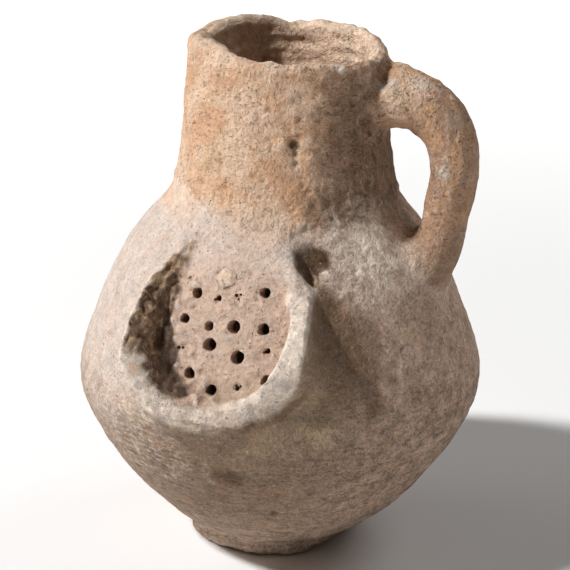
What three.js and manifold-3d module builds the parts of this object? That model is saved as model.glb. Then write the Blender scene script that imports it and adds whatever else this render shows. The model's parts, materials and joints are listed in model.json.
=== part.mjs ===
// A hand-made strainer-spout jug of fired clay, in millimetres, +Z up.
// The origin is the centre of the foot's flat underside. The spout points to -Y, the handle to +X.
import * as THREE from "three";
import { mergeVertices } from "three/addons/utils/BufferGeometryUtils.js";
import Module from "manifold-3d";

const wasm = await Module();
wasm.setup();

// Foot and thrown vessel
const FOOT_RADIUS = 31;
const FOOT_HEIGHT = 6;
const FOOT_CHAMFER = 1.5;
const BASE_RADIUS = 30.5;
const BELLY_RADIUS = 70.2;
const BELLY_HEIGHT = 64;
const SHOULDER_RADIUS = 43.3;
const SHOULDER_HEIGHT = 120;
const NECK_HEIGHT = 62;
const RIM_RADIUS = 32.8;
const FLOOR_THICKNESS = 7;
const BODY_WALL = 6;
const NECK_WALL = 5.5;
const RIM_ROUNDING = 1.6;

// Band of clay that lutes the neck on the shoulder
const COIL_BELOW_JOINT = 6;
const COIL_ABOVE_JOINT = 10;
const COIL_DEPTH = 3.5;

// Strainer: holes punched with a reed, square to the leaning wall, four rows of four, each set by hand
const STRAINER_BELOW_SPOUT_LINE = 3;
const STRAINER_HOLES = [
  { across: -11.6, up: 13.2, diameter: 3.6 },
  { across: -4.1, up: 13.0, diameter: 2.8 },
  { across: 2.6, up: 14.2, diameter: 2.8 },
  { across: 10.9, up: 15.9, diameter: 3.6 },
  { across: -14.5, up: 5.2, diameter: 3.2 },
  { across: -5.2, up: 4.5, diameter: 3.2 },
  { across: 2.9, up: 5.3, diameter: 4.6 },
  { across: 12.5, up: 5.7, diameter: 4.0 },
  { across: -14.2, up: -3.7, diameter: 2.8 },
  { across: -4.1, up: -0.9, diameter: 4.4 },
  { across: 5.5, up: -3.6, diameter: 4.6 },
  { across: 14.3, up: -1.0, diameter: 3.0 },
  { across: -10.1, up: -10.5, diameter: 3.7 },
  { across: -1.6, up: -14.3, diameter: 3.7 },
  { across: 7.1, up: -12.6, diameter: 3.5 },
  { across: 16.1, up: -9.7, diameter: 3.3 },
];
const HOLE_SLOPE = THREE.MathUtils.degToRad(20);
const HOLE_SIDES = 8;

// Spout: an open trough over the strainer, cut away obliquely at the top
const SPOUT_HEIGHT = 95;
const SPOUT_RISE = THREE.MathUtils.degToRad(9);
const SPOUT_BORE = 22;
const SPOUT_FLARE = 0.0057;
const SPOUT_WALL = 6.5;
const SPOUT_PAST_BELLY = 9.8;
const SPOUT_ROOT_DEPTH = 36;
const SPOUT_ARM_LEAN = 4;
const UNCUT_ARM_HEIGHT = 60;
const ARM_RISE_AT_WALL = 24;
const ARM_RISE_AT_MOUTH = 3.5;
const SPOUT_ROLL_WIDTH = 13;
const SPOUT_ROLL_LENGTH = 15;
const SPOUT_ROLL_DROP = 5;
const SPOUT_ROLL_STEPS = 8;

// Handle: a strap from just under the rim to the shoulder
const HANDLE_THICKNESS = 16;
const HANDLE_WIDTH = 21;
const HANDLE_STAND_OFF = 26.5;
const HANDLE_TOP_DROP = 18.5;
const HANDLE_FOOT_BELOW_SHOULDER = 15;
const HANDLE_STEPS = 24;

// The strap's bend, from its top down: in from its widest reach, and down from its top
const HANDLE_BEND = [
  { inset: 15, drop: 0 },
  { inset: 5.5, drop: 5.5 },
  { inset: 1.2, drop: 13 },
  { inset: 0, drop: 22 },
  { inset: 1, drop: 33 },
  { inset: 3, drop: 46 },
];

// Smears of clay round the handle's two ends
const LUTING_SPREAD = 6;
const FOOT_LUTING_SPREAD = 9;
const LUTING_HEIGHT = 8;

// A layer of slip this thick lies between luted pieces
const SLIP = 0.3;

// Longer than the jug, for the blocks that cut it
const FAR = 400;
const TURN_STEPS = 40;

// Sizes that follow from the ones above
const HEIGHT = SHOULDER_HEIGHT + NECK_HEIGHT;
const SPOUT_REACH = BELLY_RADIUS + SPOUT_PAST_BELLY;
const ARM_TOP_HEIGHT = SPOUT_HEIGHT + ARM_RISE_AT_WALL;
const ARM_FRONT_HEIGHT = SPOUT_HEIGHT + ARM_RISE_AT_MOUTH;
const HANDLE_REACH = RIM_RADIUS + HANDLE_STAND_OFF;
const HANDLE_FOOT_HEIGHT = SHOULDER_HEIGHT - HANDLE_FOOT_BELOW_SHOULDER;

// Closed geometries to solids and back

function toSolid(geometry) {
  const bare = geometry.clone();
  bare.deleteAttribute("normal");
  bare.deleteAttribute("uv");
  const merged = mergeVertices(bare, 1e-4);
  const corners = merged.index.array;
  const faces = [];
  for (let i = 0; i < corners.length; i += 3) {
    const [a, b, c] = [corners[i], corners[i + 1], corners[i + 2]];
    if (a !== b && b !== c && c !== a) faces.push(a, b, c);
  }
  const mesh = new wasm.Mesh({
    numProp: 3,
    vertProperties: new Float32Array(merged.attributes.position.array),
    triVerts: new Uint32Array(faces),
  });
  return new wasm.Manifold(mesh);
}

function toGeometry(solid) {
  const mesh = solid.getMesh();
  const geometry = new THREE.BufferGeometry();
  geometry.setAttribute("position", new THREE.BufferAttribute(mesh.vertProperties, 3));
  geometry.setIndex(new THREE.BufferAttribute(mesh.triVerts, 1));
  geometry.computeVertexNormals();
  return geometry;
}

// A closed outline of radius and height, turned about the jug's axis
function turned(outline) {
  const geometry = new THREE.LatheGeometry(outline, TURN_STEPS);
  geometry.rotateX(Math.PI / 2);
  return toSolid(geometry);
}

function block(low, high) {
  const size = high.clone().sub(low);
  const geometry = new THREE.BoxGeometry(size.x, size.y, size.z);
  geometry.translate((low.x + high.x) / 2, (low.y + high.y) / 2, (low.z + high.z) / 2);
  return toSolid(geometry);
}

// The vessel's outline, bottom to top, as three round stretches.
// Each curve's two handles are given as shares of its way in radius and in height.

function stretch(from, to, nearShare, farShare, steps) {
  const handle = (share) =>
    new THREE.Vector2(from.x + (to.x - from.x) * share[0], from.y + (to.y - from.y) * share[1]);
  return new THREE.CubicBezierCurve(from, handle(nearShare), handle(farShare), to).getPoints(steps);
}

const base = new THREE.Vector2(BASE_RADIUS, FOOT_HEIGHT + SLIP);
const belly = new THREE.Vector2(BELLY_RADIUS, BELLY_HEIGHT);
const shoulder = new THREE.Vector2(SHOULDER_RADIUS, SHOULDER_HEIGHT);
const rim = new THREE.Vector2(RIM_RADIUS, HEIGHT);
const wallLine = [
  ...stretch(base, belly, [0.54, 0.235], [1.02, 0.76], 7),
  ...stretch(belly, shoulder, [0.5, 0.85], [0.93, 0.93], 8).slice(1),
  ...stretch(shoulder, rim, [0.11, 0.065], [0.94, 0.0], 8).slice(1),
];

function outerRadius(height) {
  for (let i = 1; i < wallLine.length; i++) {
    const [low, high] = [wallLine[i - 1], wallLine[i]];
    if (height <= high.y) {
      return low.x + ((high.x - low.x) * (height - low.y)) / (high.y - low.y);
    }
  }
  return RIM_RADIUS;
}

// The wall line moved square to itself, outwards where the distance is positive
function moved(distanceAt) {
  return wallLine.map((point, i) => {
    const before = wallLine[Math.max(i - 1, 0)];
    const after = wallLine[Math.min(i + 1, wallLine.length - 1)];
    const along = after.clone().sub(before).normalize();
    const distance = distanceAt(point.y);
    return new THREE.Vector2(point.x + along.y * distance, point.y - along.x * distance);
  });
}

// The whole outside as a filled form, grown all round by a clearance
function filledOutside(growth) {
  const line = moved(() => growth);
  const top = new THREE.Vector2(line[line.length - 1].x, HEIGHT + growth);
  const bottom = new THREE.Vector2(line[0].x, base.y - growth);
  const axisLow = new THREE.Vector2(0, bottom.y);
  const axisHigh = new THREE.Vector2(0, top.y);
  const middle = line.filter((point) => point.y > bottom.y && point.y < HEIGHT);
  return turned([axisLow, bottom, ...middle, top, axisHigh]);
}

function thrownVessel() {
  const outside = wallLine.slice(0, -1);
  outside.push(new THREE.Vector2(RIM_RADIUS, HEIGHT - RIM_ROUNDING));
  outside.push(new THREE.Vector2(RIM_RADIUS - RIM_ROUNDING, HEIGHT));
  const floor = FOOT_HEIGHT + FLOOR_THICKNESS;
  const inner = moved((height) => (height < SHOULDER_HEIGHT ? -BODY_WALL : -NECK_WALL));
  const inside = inner.filter((point) => point.y > floor && point.y < HEIGHT - RIM_ROUNDING);
  const bore = RIM_RADIUS - NECK_WALL;
  inside.push(new THREE.Vector2(bore, HEIGHT - RIM_ROUNDING));
  inside.push(new THREE.Vector2(bore + RIM_ROUNDING, HEIGHT));
  const start = new THREE.Vector2(0, base.y);
  const end = new THREE.Vector2(0, floor);
  return turned([start, ...outside, ...inside.reverse(), end]);
}

// Foot, body, neck and the band between them

function footDisc() {
  return turned([
    new THREE.Vector2(0, 0),
    new THREE.Vector2(FOOT_RADIUS - FOOT_CHAMFER, 0),
    new THREE.Vector2(FOOT_RADIUS, FOOT_CHAMFER),
    new THREE.Vector2(FOOT_RADIUS, FOOT_HEIGHT - FOOT_CHAMFER),
    new THREE.Vector2(BASE_RADIUS, FOOT_HEIGHT),
    new THREE.Vector2(0, FOOT_HEIGHT),
  ]);
}

// A ring that bridges the joint, grown all round by a clearance
function coilRing(growth) {
  const low = SHOULDER_HEIGHT - COIL_BELOW_JOINT - growth;
  const high = SHOULDER_HEIGHT + COIL_ABOVE_JOINT + growth;
  const depth = COIL_DEPTH + growth;
  const beyond = BELLY_RADIUS;
  return turned([
    new THREE.Vector2(outerRadius(low) - depth, low),
    new THREE.Vector2(beyond, low),
    new THREE.Vector2(beyond, high),
    new THREE.Vector2(outerRadius(high) - depth, high),
    new THREE.Vector2(outerRadius(low) - depth, low),
  ]);
}

function strainerHole(hole) {
  const radius = hole.diameter / 2;
  const length = BODY_WALL * 5;
  const geometry = new THREE.CylinderGeometry(radius, radius, length, HOLE_SIDES);
  const height = SPOUT_HEIGHT - STRAINER_BELOW_SPOUT_LINE + hole.up;
  const wall = Math.sqrt(outerRadius(height) ** 2 - hole.across ** 2);
  geometry.rotateX(-HOLE_SLOPE);
  geometry.translate(hole.across, -wall, height);
  return toSolid(geometry);
}

// Spout: its frame has X across, Y up and Z out along the rising line from the wall

const spoutSeat = outerRadius(SPOUT_HEIGHT);
const spoutFrame = new THREE.Matrix4().makeBasis(
  new THREE.Vector3(1, 0, 0),
  new THREE.Vector3(0, Math.sin(SPOUT_RISE), Math.cos(SPOUT_RISE)),
  new THREE.Vector3(0, -Math.cos(SPOUT_RISE), Math.sin(SPOUT_RISE)),
);
spoutFrame.setPosition(0, -spoutSeat, SPOUT_HEIGHT);

// A round-bottomed outline, open upwards, with sides that lean in a little
function troughOutline(radius, sideHeight) {
  const outline = new THREE.Shape();
  outline.moveTo(radius, 0);
  outline.lineTo(radius - SPOUT_ARM_LEAN, sideHeight);
  outline.lineTo(SPOUT_ARM_LEAN - radius, sideHeight);
  outline.lineTo(-radius, 0);
  outline.absarc(0, 0, radius, Math.PI, Math.PI * 2, false);
  return outline;
}

// The outline drawn out along the spout, scaled about the spout's line as it goes.
// A straight flare needs few steps along its way.
function drawnOut(outline, from, to, scaleAt, steps = 2) {
  const options = { depth: to - from, steps, bevelEnabled: false, curveSegments: 9 };
  const geometry = new THREE.ExtrudeGeometry(outline, options);
  geometry.translate(0, 0, from);
  const position = geometry.attributes.position;
  for (let i = 0; i < position.count; i++) {
    const scale = scaleAt(position.getZ(i));
    position.setXY(i, position.getX(i) * scale, position.getY(i) * scale);
  }
  geometry.applyMatrix4(spoutFrame);
  return toSolid(geometry);
}

const flare = (out) => 1 + SPOUT_FLARE * out;
const spoutStart = -SPOUT_ROOT_DEPTH;
const spoutEnd = SPOUT_REACH;

// What the trough's channel takes away: it runs past the spout's ends and top
function channel(radius) {
  const outline = troughOutline(radius, UNCUT_ARM_HEIGHT * 1.5);
  return drawnOut(outline, spoutStart - 1, spoutEnd + 1, flare);
}

// Everything above the oblique edge of the arms, lowered by a drop
function aboveArms(drop) {
  const rise = ARM_TOP_HEIGHT - ARM_FRONT_HEIGHT;
  const wall = outerRadius(ARM_TOP_HEIGHT);
  const slope = Math.atan2(rise, SPOUT_REACH - wall);
  const geometry = new THREE.BoxGeometry(FAR, FAR, FAR);
  geometry.translate(0, 0, FAR / 2);
  geometry.rotateX(slope);
  geometry.translate(0, -wall, ARM_TOP_HEIGHT - drop);
  return toSolid(geometry);
}

function spoutTrough(outside) {
  const outline = troughOutline(SPOUT_BORE + SPOUT_WALL, UNCUT_ARM_HEIGHT);
  const outer = drawnOut(outline, spoutStart, spoutEnd, flare);
  const past = block(new THREE.Vector3(-FAR, -FAR, -FAR), new THREE.Vector3(FAR, -SPOUT_REACH, FAR));
  return outer.subtract(channel(SPOUT_BORE)).subtract(past).subtract(aboveArms(0)).subtract(outside);
}

function spoutRoll(outside) {
  const radius = SPOUT_BORE + SPOUT_WALL;
  const spread = (out) => {
    const share = THREE.MathUtils.clamp((SPOUT_ROLL_LENGTH - out) / (SPOUT_ROLL_LENGTH * 2), 0, 1);
    return flare(out) + (SPOUT_ROLL_WIDTH / radius) * share;
  };
  const outline = troughOutline(radius, UNCUT_ARM_HEIGHT);
  const roll = drawnOut(outline, spoutStart, SPOUT_ROLL_LENGTH, spread, SPOUT_ROLL_STEPS);
  return roll.subtract(channel(radius + SLIP)).subtract(aboveArms(SPOUT_ROLL_DROP)).subtract(outside);
}

// Handle

const handleTop = HEIGHT - HANDLE_TOP_DROP;
const handleLine = new THREE.CatmullRomCurve3([
  new THREE.Vector3(outerRadius(handleTop) - NECK_WALL, 0, handleTop),
  ...HANDLE_BEND.map((bend) => new THREE.Vector3(HANDLE_REACH - bend.inset, 0, handleTop - bend.drop)),
  new THREE.Vector3(outerRadius(HANDLE_FOOT_HEIGHT) - BODY_WALL, 0, HANDLE_FOOT_HEIGHT - BODY_WALL),
]);

function handleSolid(growth) {
  const section = new THREE.Shape();
  const half = { thickness: HANDLE_THICKNESS / 2 + growth, width: HANDLE_WIDTH / 2 + growth };
  section.absellipse(0, 0, half.width, half.thickness, 0, Math.PI * 2, false);
  const options = { extrudePath: handleLine, steps: HANDLE_STEPS, curveSegments: 7 };
  return toSolid(new THREE.ExtrudeGeometry(section, options));
}

// A smear of clay pressed round one end of the handle, on the wall at that height
function smear(height, spread) {
  const geometry = new THREE.SphereGeometry(1, 18, 10);
  geometry.scale(LUTING_HEIGHT, HANDLE_WIDTH / 2 + LUTING_SPREAD, HANDLE_THICKNESS / 2 + spread);
  geometry.translate(outerRadius(height), 0, height);
  return toSolid(geometry);
}

// Assembly

const outsideWithSlip = filledOutside(SLIP);
const vessel = thrownVessel();
const coil = coilRing(0).intersect(filledOutside(0));
const joint = (from, to) => block(new THREE.Vector3(-FAR, -FAR, from), new THREE.Vector3(FAR, FAR, to));
const withoutCoil = vessel.subtract(coilRing(SLIP));
const pierced = STRAINER_HOLES.reduce((body, hole) => body.subtract(strainerHole(hole)), withoutCoil);
const body = pierced.subtract(joint(SHOULDER_HEIGHT, FAR));
const neck = withoutCoil.subtract(joint(-FAR, SHOULDER_HEIGHT + SLIP));
const handle = handleSolid(0).subtract(outsideWithSlip);
const handleWithSlip = handleSolid(SLIP);
const topSmear = smear(handleTop, LUTING_SPREAD);
const footSmear = smear(HANDLE_FOOT_HEIGHT, FOOT_LUTING_SPREAD);

function clay(color) {
  return new THREE.MeshStandardMaterial({ color, roughness: 0.95, metalness: 0 });
}

const creamClay = clay("#c9b09a");
const tanClay = clay("#b8916d");
const greyClay = clay("#a08a76");
const jug = new THREE.Group();
jug.name = "strainer_spout_jug";

function addPiece(name, solid, material) {
  const mesh = new THREE.Mesh(toGeometry(solid), material);
  mesh.name = name;
  jug.add(mesh);
}

addPiece("foot_disc", footDisc(), greyClay);
addPiece("pierced_body", body, creamClay);
addPiece("neck", neck, tanClay);
addPiece("neck_luting_coil", coil, tanClay);
addPiece("spout_trough", spoutTrough(outsideWithSlip), creamClay);
addPiece("spout_luting_roll", spoutRoll(outsideWithSlip), greyClay);
addPiece("handle_strap", handle, tanClay);
addPiece("handle_top_luting", topSmear.subtract(outsideWithSlip).subtract(handleWithSlip), tanClay);
addPiece("handle_foot_luting", footSmear.subtract(outsideWithSlip).subtract(handleWithSlip), creamClay);

export default jug;
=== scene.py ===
"""Looks of a hand-made strainer-spout jug: the clay form, its pieces, the fired clay and the studio.

The form is modelled in millimetres in the frame's own axes (spout to -Y, handle to +X) and cut into
the pieces that the potter luted together. Each finished piece is turned into metres at the end.
"""
import json
import math
from types import SimpleNamespace

import bmesh
import bpy
import numpy as np
from bpy.props import FloatProperty, FloatVectorProperty, PointerProperty
from mathutils import Matrix, Vector, noise
from mathutils.geometry import interpolate_bezier
from mathutils.kdtree import KDTree


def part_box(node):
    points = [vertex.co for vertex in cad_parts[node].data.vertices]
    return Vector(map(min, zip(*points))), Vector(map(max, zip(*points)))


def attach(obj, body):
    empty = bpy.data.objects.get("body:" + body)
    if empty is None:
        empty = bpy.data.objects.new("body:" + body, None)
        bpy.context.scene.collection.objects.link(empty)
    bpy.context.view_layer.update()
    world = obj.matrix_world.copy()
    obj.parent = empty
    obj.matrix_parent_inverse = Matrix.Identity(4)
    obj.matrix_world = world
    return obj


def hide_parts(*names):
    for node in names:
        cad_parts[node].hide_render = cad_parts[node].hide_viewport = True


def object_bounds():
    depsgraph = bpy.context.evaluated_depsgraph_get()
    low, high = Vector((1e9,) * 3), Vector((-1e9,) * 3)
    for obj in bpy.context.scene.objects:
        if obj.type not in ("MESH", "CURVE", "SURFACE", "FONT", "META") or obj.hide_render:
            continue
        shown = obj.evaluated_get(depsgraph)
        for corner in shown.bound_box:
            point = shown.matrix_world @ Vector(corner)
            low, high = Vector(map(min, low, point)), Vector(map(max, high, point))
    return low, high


bl_info = {
    "name": "Strainer-spout jug",
    "version": (1, 0, 0),
    "blender": (4, 5, 0),
    "location": "View3D > Sidebar > Jug",
    "description": "Models and finishes a hand-made clay jug with a strainer spout",
    "category": "Object",
}

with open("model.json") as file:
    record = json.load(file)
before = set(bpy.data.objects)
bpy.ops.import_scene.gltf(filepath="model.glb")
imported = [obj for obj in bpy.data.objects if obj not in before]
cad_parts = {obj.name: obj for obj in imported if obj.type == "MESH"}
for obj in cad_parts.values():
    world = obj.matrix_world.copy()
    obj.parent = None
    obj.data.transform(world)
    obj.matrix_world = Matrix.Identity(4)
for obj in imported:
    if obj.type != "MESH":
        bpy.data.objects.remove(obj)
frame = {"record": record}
CAD_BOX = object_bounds()

# Sizes that the frame holds, in millimetres
MM = 0.001
FOOT_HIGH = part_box("foot_disc")[1]
BODY_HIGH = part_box("pierced_body")[1]
FOOT_RADIUS = FOOT_HIGH[0] / MM
FOOT_HEIGHT = FOOT_HIGH[2] / MM
BELLY_RADIUS = BODY_HIGH[0] / MM
SHOULDER_HEIGHT = BODY_HIGH[2] / MM
HEIGHT = CAD_BOX[1][2] / MM
SPOUT_REACH = -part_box("spout_trough")[0][1] / MM

# Sizes read from the photograph, in millimetres
BASE_RADIUS = FOOT_RADIUS - 0.5
BELLY_HEIGHT = 64
SHOULDER_RADIUS = 43.3
RIM_RADIUS = 32.8
BODY_WALL = 6
FLOOR_HEIGHT = FOOT_HEIGHT + 7
SPOUT_HEIGHT = 95
SPOUT_SEAT = 59.9
SPOUT_RISE = math.radians(9)
COIL_LOW = SHOULDER_HEIGHT - 6
COIL_HIGH = SHOULDER_HEIGHT + 10
COIL_DEPTH = 3

# Strainer holes: how far across and up from the field's middle, and how wide
STRAINER_HEIGHT = 92
STRAINER_HOLES = (
    (-11.6, 13.2, 3.6), (-4.1, 13.0, 2.8), (2.6, 14.2, 2.8), (10.9, 15.9, 3.6),
    (-14.5, 5.2, 3.2), (-5.2, 4.5, 3.2), (2.9, 5.3, 4.6), (12.5, 5.7, 4.0),
    (-14.2, -3.7, 2.8), (-4.1, -0.9, 4.4), (5.5, -3.6, 4.6), (14.3, -1.0, 3.0),
    (-10.1, -10.5, 3.7), (-1.6, -14.3, 3.7), (7.1, -12.6, 3.5), (16.1, -9.7, 3.3),
)
HOLE_SLOPE = math.radians(20)

# The handle's middle line in the plane of +X and +Z: out, up, half its thickness, half its width
HANDLE_LINE = (
    (24.0, 162.5, 9.5, 12.5),
    (34.0, 163.0, 9.8, 12.5),
    (44.5, 162.6, 9.6, 11.5),
    (52.6, 158.4, 8.9, 10.8),
    (57.4, 151.2, 8.3, 10.3),
    (59.3, 142.0, 8.0, 10.2),
    (58.8, 133.5, 7.9, 10.3),
    (57.4, 125.0, 8.0, 10.8),
    (55.6, 115.5, 8.3, 11.8),
    (52.2, 105.5, 9.0, 13.5),
    (45.0, 97.0, 9.0, 13.5),
)

# Rings along the spout: way out from the wall, middle's place across, half-width, depth, lean to the left
SPOUT_OUTSIDE = (
    (-40, 5.0, 40.0, 42.0, 0.0),
    (-16, 5.0, 38.5, 41.0, 0.0),
    (-4, 4.5, 36.5, 39.5, 2.0),
    (4, 4.0, 34.0, 37.5, 5.0),
    (12, 2.4, 31.3, 34.0, 9.0),
    (20, 1.2, 29.3, 31.7, 11.0),
    (40, 1.2, 29.3, 31.7, 11.0),
)
SPOUT_INSIDE = (
    (-42, 0.5, 22.0, 25.0, 0.0),
    (0, 0.2, 23.6, 25.0, 1.5),
    (12, 0.6, 22.4, 24.0, 5.0),
    (20, 0.7, 21.5, 23.0, 7.0),
    (42, 0.7, 21.5, 23.0, 7.0),
)

# How much the right arm's outside and inside are pressed in above the spout's line: way out, distance
SPOUT_PINCH = ((-16, 13.5), (0, 11.0), (12, 4.5), (20, 0.5))
CHANNEL_PINCH = ((-16, 7.0), (0, 5.5), (6, 2.5), (12, 0.0))

# How high the spout's two forms rise above its line, and how its right side lies further back than its left
SPOUT_OUTSIDE_RISE = 33
SPOUT_INSIDE_RISE = 36
SPOUT_LEFT_EDGE = -28
SPOUT_SKEW = math.tan(math.radians(10))

# How a hole narrows as the reed goes in: depth below the wall's outside, share of its width
REED_TAPER = ((-5, 1.25), (-0.6, 1.12), (0.4, 1.0), (4, 0.96), (10, 0.94), (16, 0.94))

# Clogged strainer holes, by number: what is left open of each, as places across and up and widths
CLOGS = {
    1: ((0.5, 0.1, 1.9), (-0.7, -0.5, 0.9)),
    2: ((-0.7, 0.3, 1.2), (0.7, 0.7, 0.9), (0.2, -0.7, 0.8)),
    8: ((-0.9, 0.1, 1.1), (0.8, 0.4, 0.9)),
    11: ((0.6, 0.2, 1.9), (-0.5, -0.3, 1.0)),
    14: ((-0.2, -0.3, 1.6), (0.8, 0.5, 1.0), (-0.9, 0.6, 0.8)),
}

# The lower edge of the neck's rough coat against the way round
COAT_EDGE = (
    (-180, 126), (-90, 128), (-60, 131), (-44, 131.5), (-25, 128), (-8, 126.5),
    (8, 125), (21, 123.5), (40, 125), (70, 127), (120, 125), (180, 126),
)

# How far the spout's lip slants back from the mouth's plane, and how high
LIP_SLANT = ((0, 60), (0, 67), (1.0, 71), (2.8, 75.5), (2.6, 80), (1.2, 86), (0.3, 91))

# How much of the foot's edge is worn away against the way round
FOOT_LOSS = (
    (-180, 0.8), (-70, 0.4), (-45, -0.6), (-15, 0.3), (12, 0.5), (30, 1.0), (48, 2.0), (62, 3.4), (80, 3.6),
    (92, 1.6), (120, 1.2), (180, 0.8),
)

# Hollows in the surface: place, radius and depth; a lump has a depth below nought
MARKS = (
    (13.0, -31.0, 153.0, 1.9, 2.6),
    (13.8, -31.5, 149.5, 1.3, 1.3),
    (14.2, -31.8, 146.5, 1.2, 0.9),
    (17.5, -30.0, 154.0, 2.8, -1.2),
    (9.0, -33.0, 151.0, 3.0, -0.9),
    (19.0, -28.5, 148.0, 2.4, -0.8),
    (-20.0, -57.0, 88.0, 1.5, 1.0),
    (5.0, -64.0, 46.0, 3.2, 0.6),
    (-16.0, -64.0, 49.0, 4.2, 0.6),
    (23.5, -40.6, 110.5, 2.6, 1.4),
    (28.5, -39.5, 112.0, 3.0, -1.2),
    (33.0, -45.5, 103.0, 4.2, 1.8),
    (16.5, -52.0, 30.0, 1.6, 1.5),
    (12.0, -42.0, 18.0, 1.7, 1.3),
    (-15.0, -50.0, 108.0, 1.4, 0.6),
    (34.0, -8.0, 165.0, 5.0, -1.2),
    (33.0, -13.0, 158.0, 3.5, 1.4),
)

# Lumps of clay added to the form: middle, and half its size each way
LUMPS = (
    ((33.6, 4.0, 171.5), (6.0, 7.6, 7.0)),
    ((40.0, 0.5, 167.0), (8.5, 8.2, 6.8)),
    ((-20.5, -38.5, 118.5), (4.0, 4.0, 4.5)),
    ((20.2, -47.6, 109.6), (3.0, 3.0, 4.4)),
    ((18.2, -45.2, 113.4), (2.6, 2.9, 4.0)),
    ((16.4, -43.0, 117.0), (2.3, 2.7, 3.8)),
    ((14.9, -40.7, 120.4), (2.2, 2.4, 3.2)),
)

# Thin flakes that stand off the wall: middle, radius and height
FLAKES = (
    (-2.4, -50.9, 111.2, 3.3, 0.55),
    (-12.8, -51.0, 107.4, 2.3, 0.7),
    (-9.8, -55.8, 92.3, 1.7, 0.6),
    (-5.6, -56.2, 92.8, 1.4, 0.5),
    (-17.5, -52.5, 100.0, 2.0, 0.7),
    (-16.5, -57.0, 84.0, 1.8, 0.7),
    (10.2, -60.0, 79.5, 1.8, 0.6),
)

# Pits and crumbs strewn at random: where, how many, seed, radii and depths
STREWN = (
    ("crumbs", 90, 5, (0.7, 1.3), (-0.9, -0.1)),
    ("strainer", 220, 6, (0.6, 1.2), (-0.45, 0.45)),
    ("outside", 700, 7, (0.7, 1.7), (-0.25, 0.6)),
    ("coat", 460, 8, (0.6, 1.3), (-0.25, 0.8)),
)

# The turn that the grain of the spout's broken wall follows
BREAK_GRAIN = np.array(Matrix.Rotation(math.radians(-32), 3, "X"))

# The oval hollow pressed in outside the spout's right arm: middle, way out, way along, half its size
ARM_HOLLOW = Vector((22.0, -41.4, 115.2))
ARM_HOLLOW_OUT = Vector((0.41, -0.83, 0.38)).normalized()
ARM_HOLLOW_ALONG = Vector((-0.51, 0.20, 0.83)).normalized()
ARM_HOLLOW_SIZE = (2.3, 7.4, 4.8)

# The uneven rim: its height and its inner radius against the way round from the spout, in degrees
RIM_HEIGHTS = (
    (-180, 178.8), (-163, 176.9), (-157, 178.6), (-145, 180.4), (-131, 180.3), (-110, 179.9),
    (-92, 178.6), (-60, 181.3), (-42, 181.8), (-23, 180.3), (-4, 178.9), (26, 179.0),
    (59, 177.0), (79, 176.2), (115, 177.9), (134, 177.9), (158, 178.5), (180, 178.8),
)
MOUTH_RADII = (
    (-180, 27.4), (-140, 26.8), (-105, 25.6), (-75, 24.8), (-30, 25.2), (-10, 28.2),
    (13, 29.0), (40, 29.2), (60, 28.4), (90, 27.0), (135, 27.6), (180, 27.4),
)

# The neck's bore, where it ends below, and how the body's cavity laps and meets it
NECK_BORE = 27.3
BORE_FLOOR = 126
BORE_LAP = 1.6
BORE_STEP = 0.7
CAVITY_NECK = SHOULDER_HEIGHT + 5
FLOOR_CORNER = 3

# Where the handle's two ends meet the jug, and the reach of the clay smeared over each: out and up
HANDLE_TOP = HEIGHT - 18.5
HANDLE_FOOT = SHOULDER_HEIGHT - 15
TOP_SMEAR = (10, 15)
FOOT_SMEAR = (10, 17)
SMEAR_MARGIN = 6

# The space taken out round the strap, as a share of its thickness and width
STRAP_SPACE = 1.6

# What lies this far outside the vessel's plain wall belongs to a piece luted on it. A later cut keeps a
# step off an older one, so that no film of clay is left between them.
WALL_SKIN = 2
CUT_STEP = 0.1

# A loose part with fewer points than this is a crumb that a cut has left
CRUMB_POINTS = 120

# A point further than this from the form's skin lies on a cut face, which is flat
CUT_FACE_DEPTH = 1.2

# The form is kept this far inside the frame's box
KEPT_IN = 0.08

# Blocks that the cuts use: one round the spout, and a distance past the jug on every side
ROLL_BLOCK = ((-60, -110, 30), (50, -20, 130))
BEYOND = 90

# The space of the trough: near the wall it is a plain U, past the roll it is everything
SPOUT_TROUGH = (
    (-40, 1.0, 28.0, 28.5, 0.0),
    (0, 0.5, 28.5, 29.0, 3.0),
    (9, 0.7, 29.0, 31.0, 7.0),
    (13, 0.7, 42.0, 44.0, 7.0),
    (60, 0.7, 44.0, 46.0, 7.0),
)
SPOUT_FAR = 60

# How rough unglazed clay is, and how little it shines
CLAY_ROUGHNESS = 0.93
CLAY_SHINE = 0.25

# A spot at least this wide, whether a stain, painted shade or painted light, has a softer, more broken edge
LARGE_SPOT = 6
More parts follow.
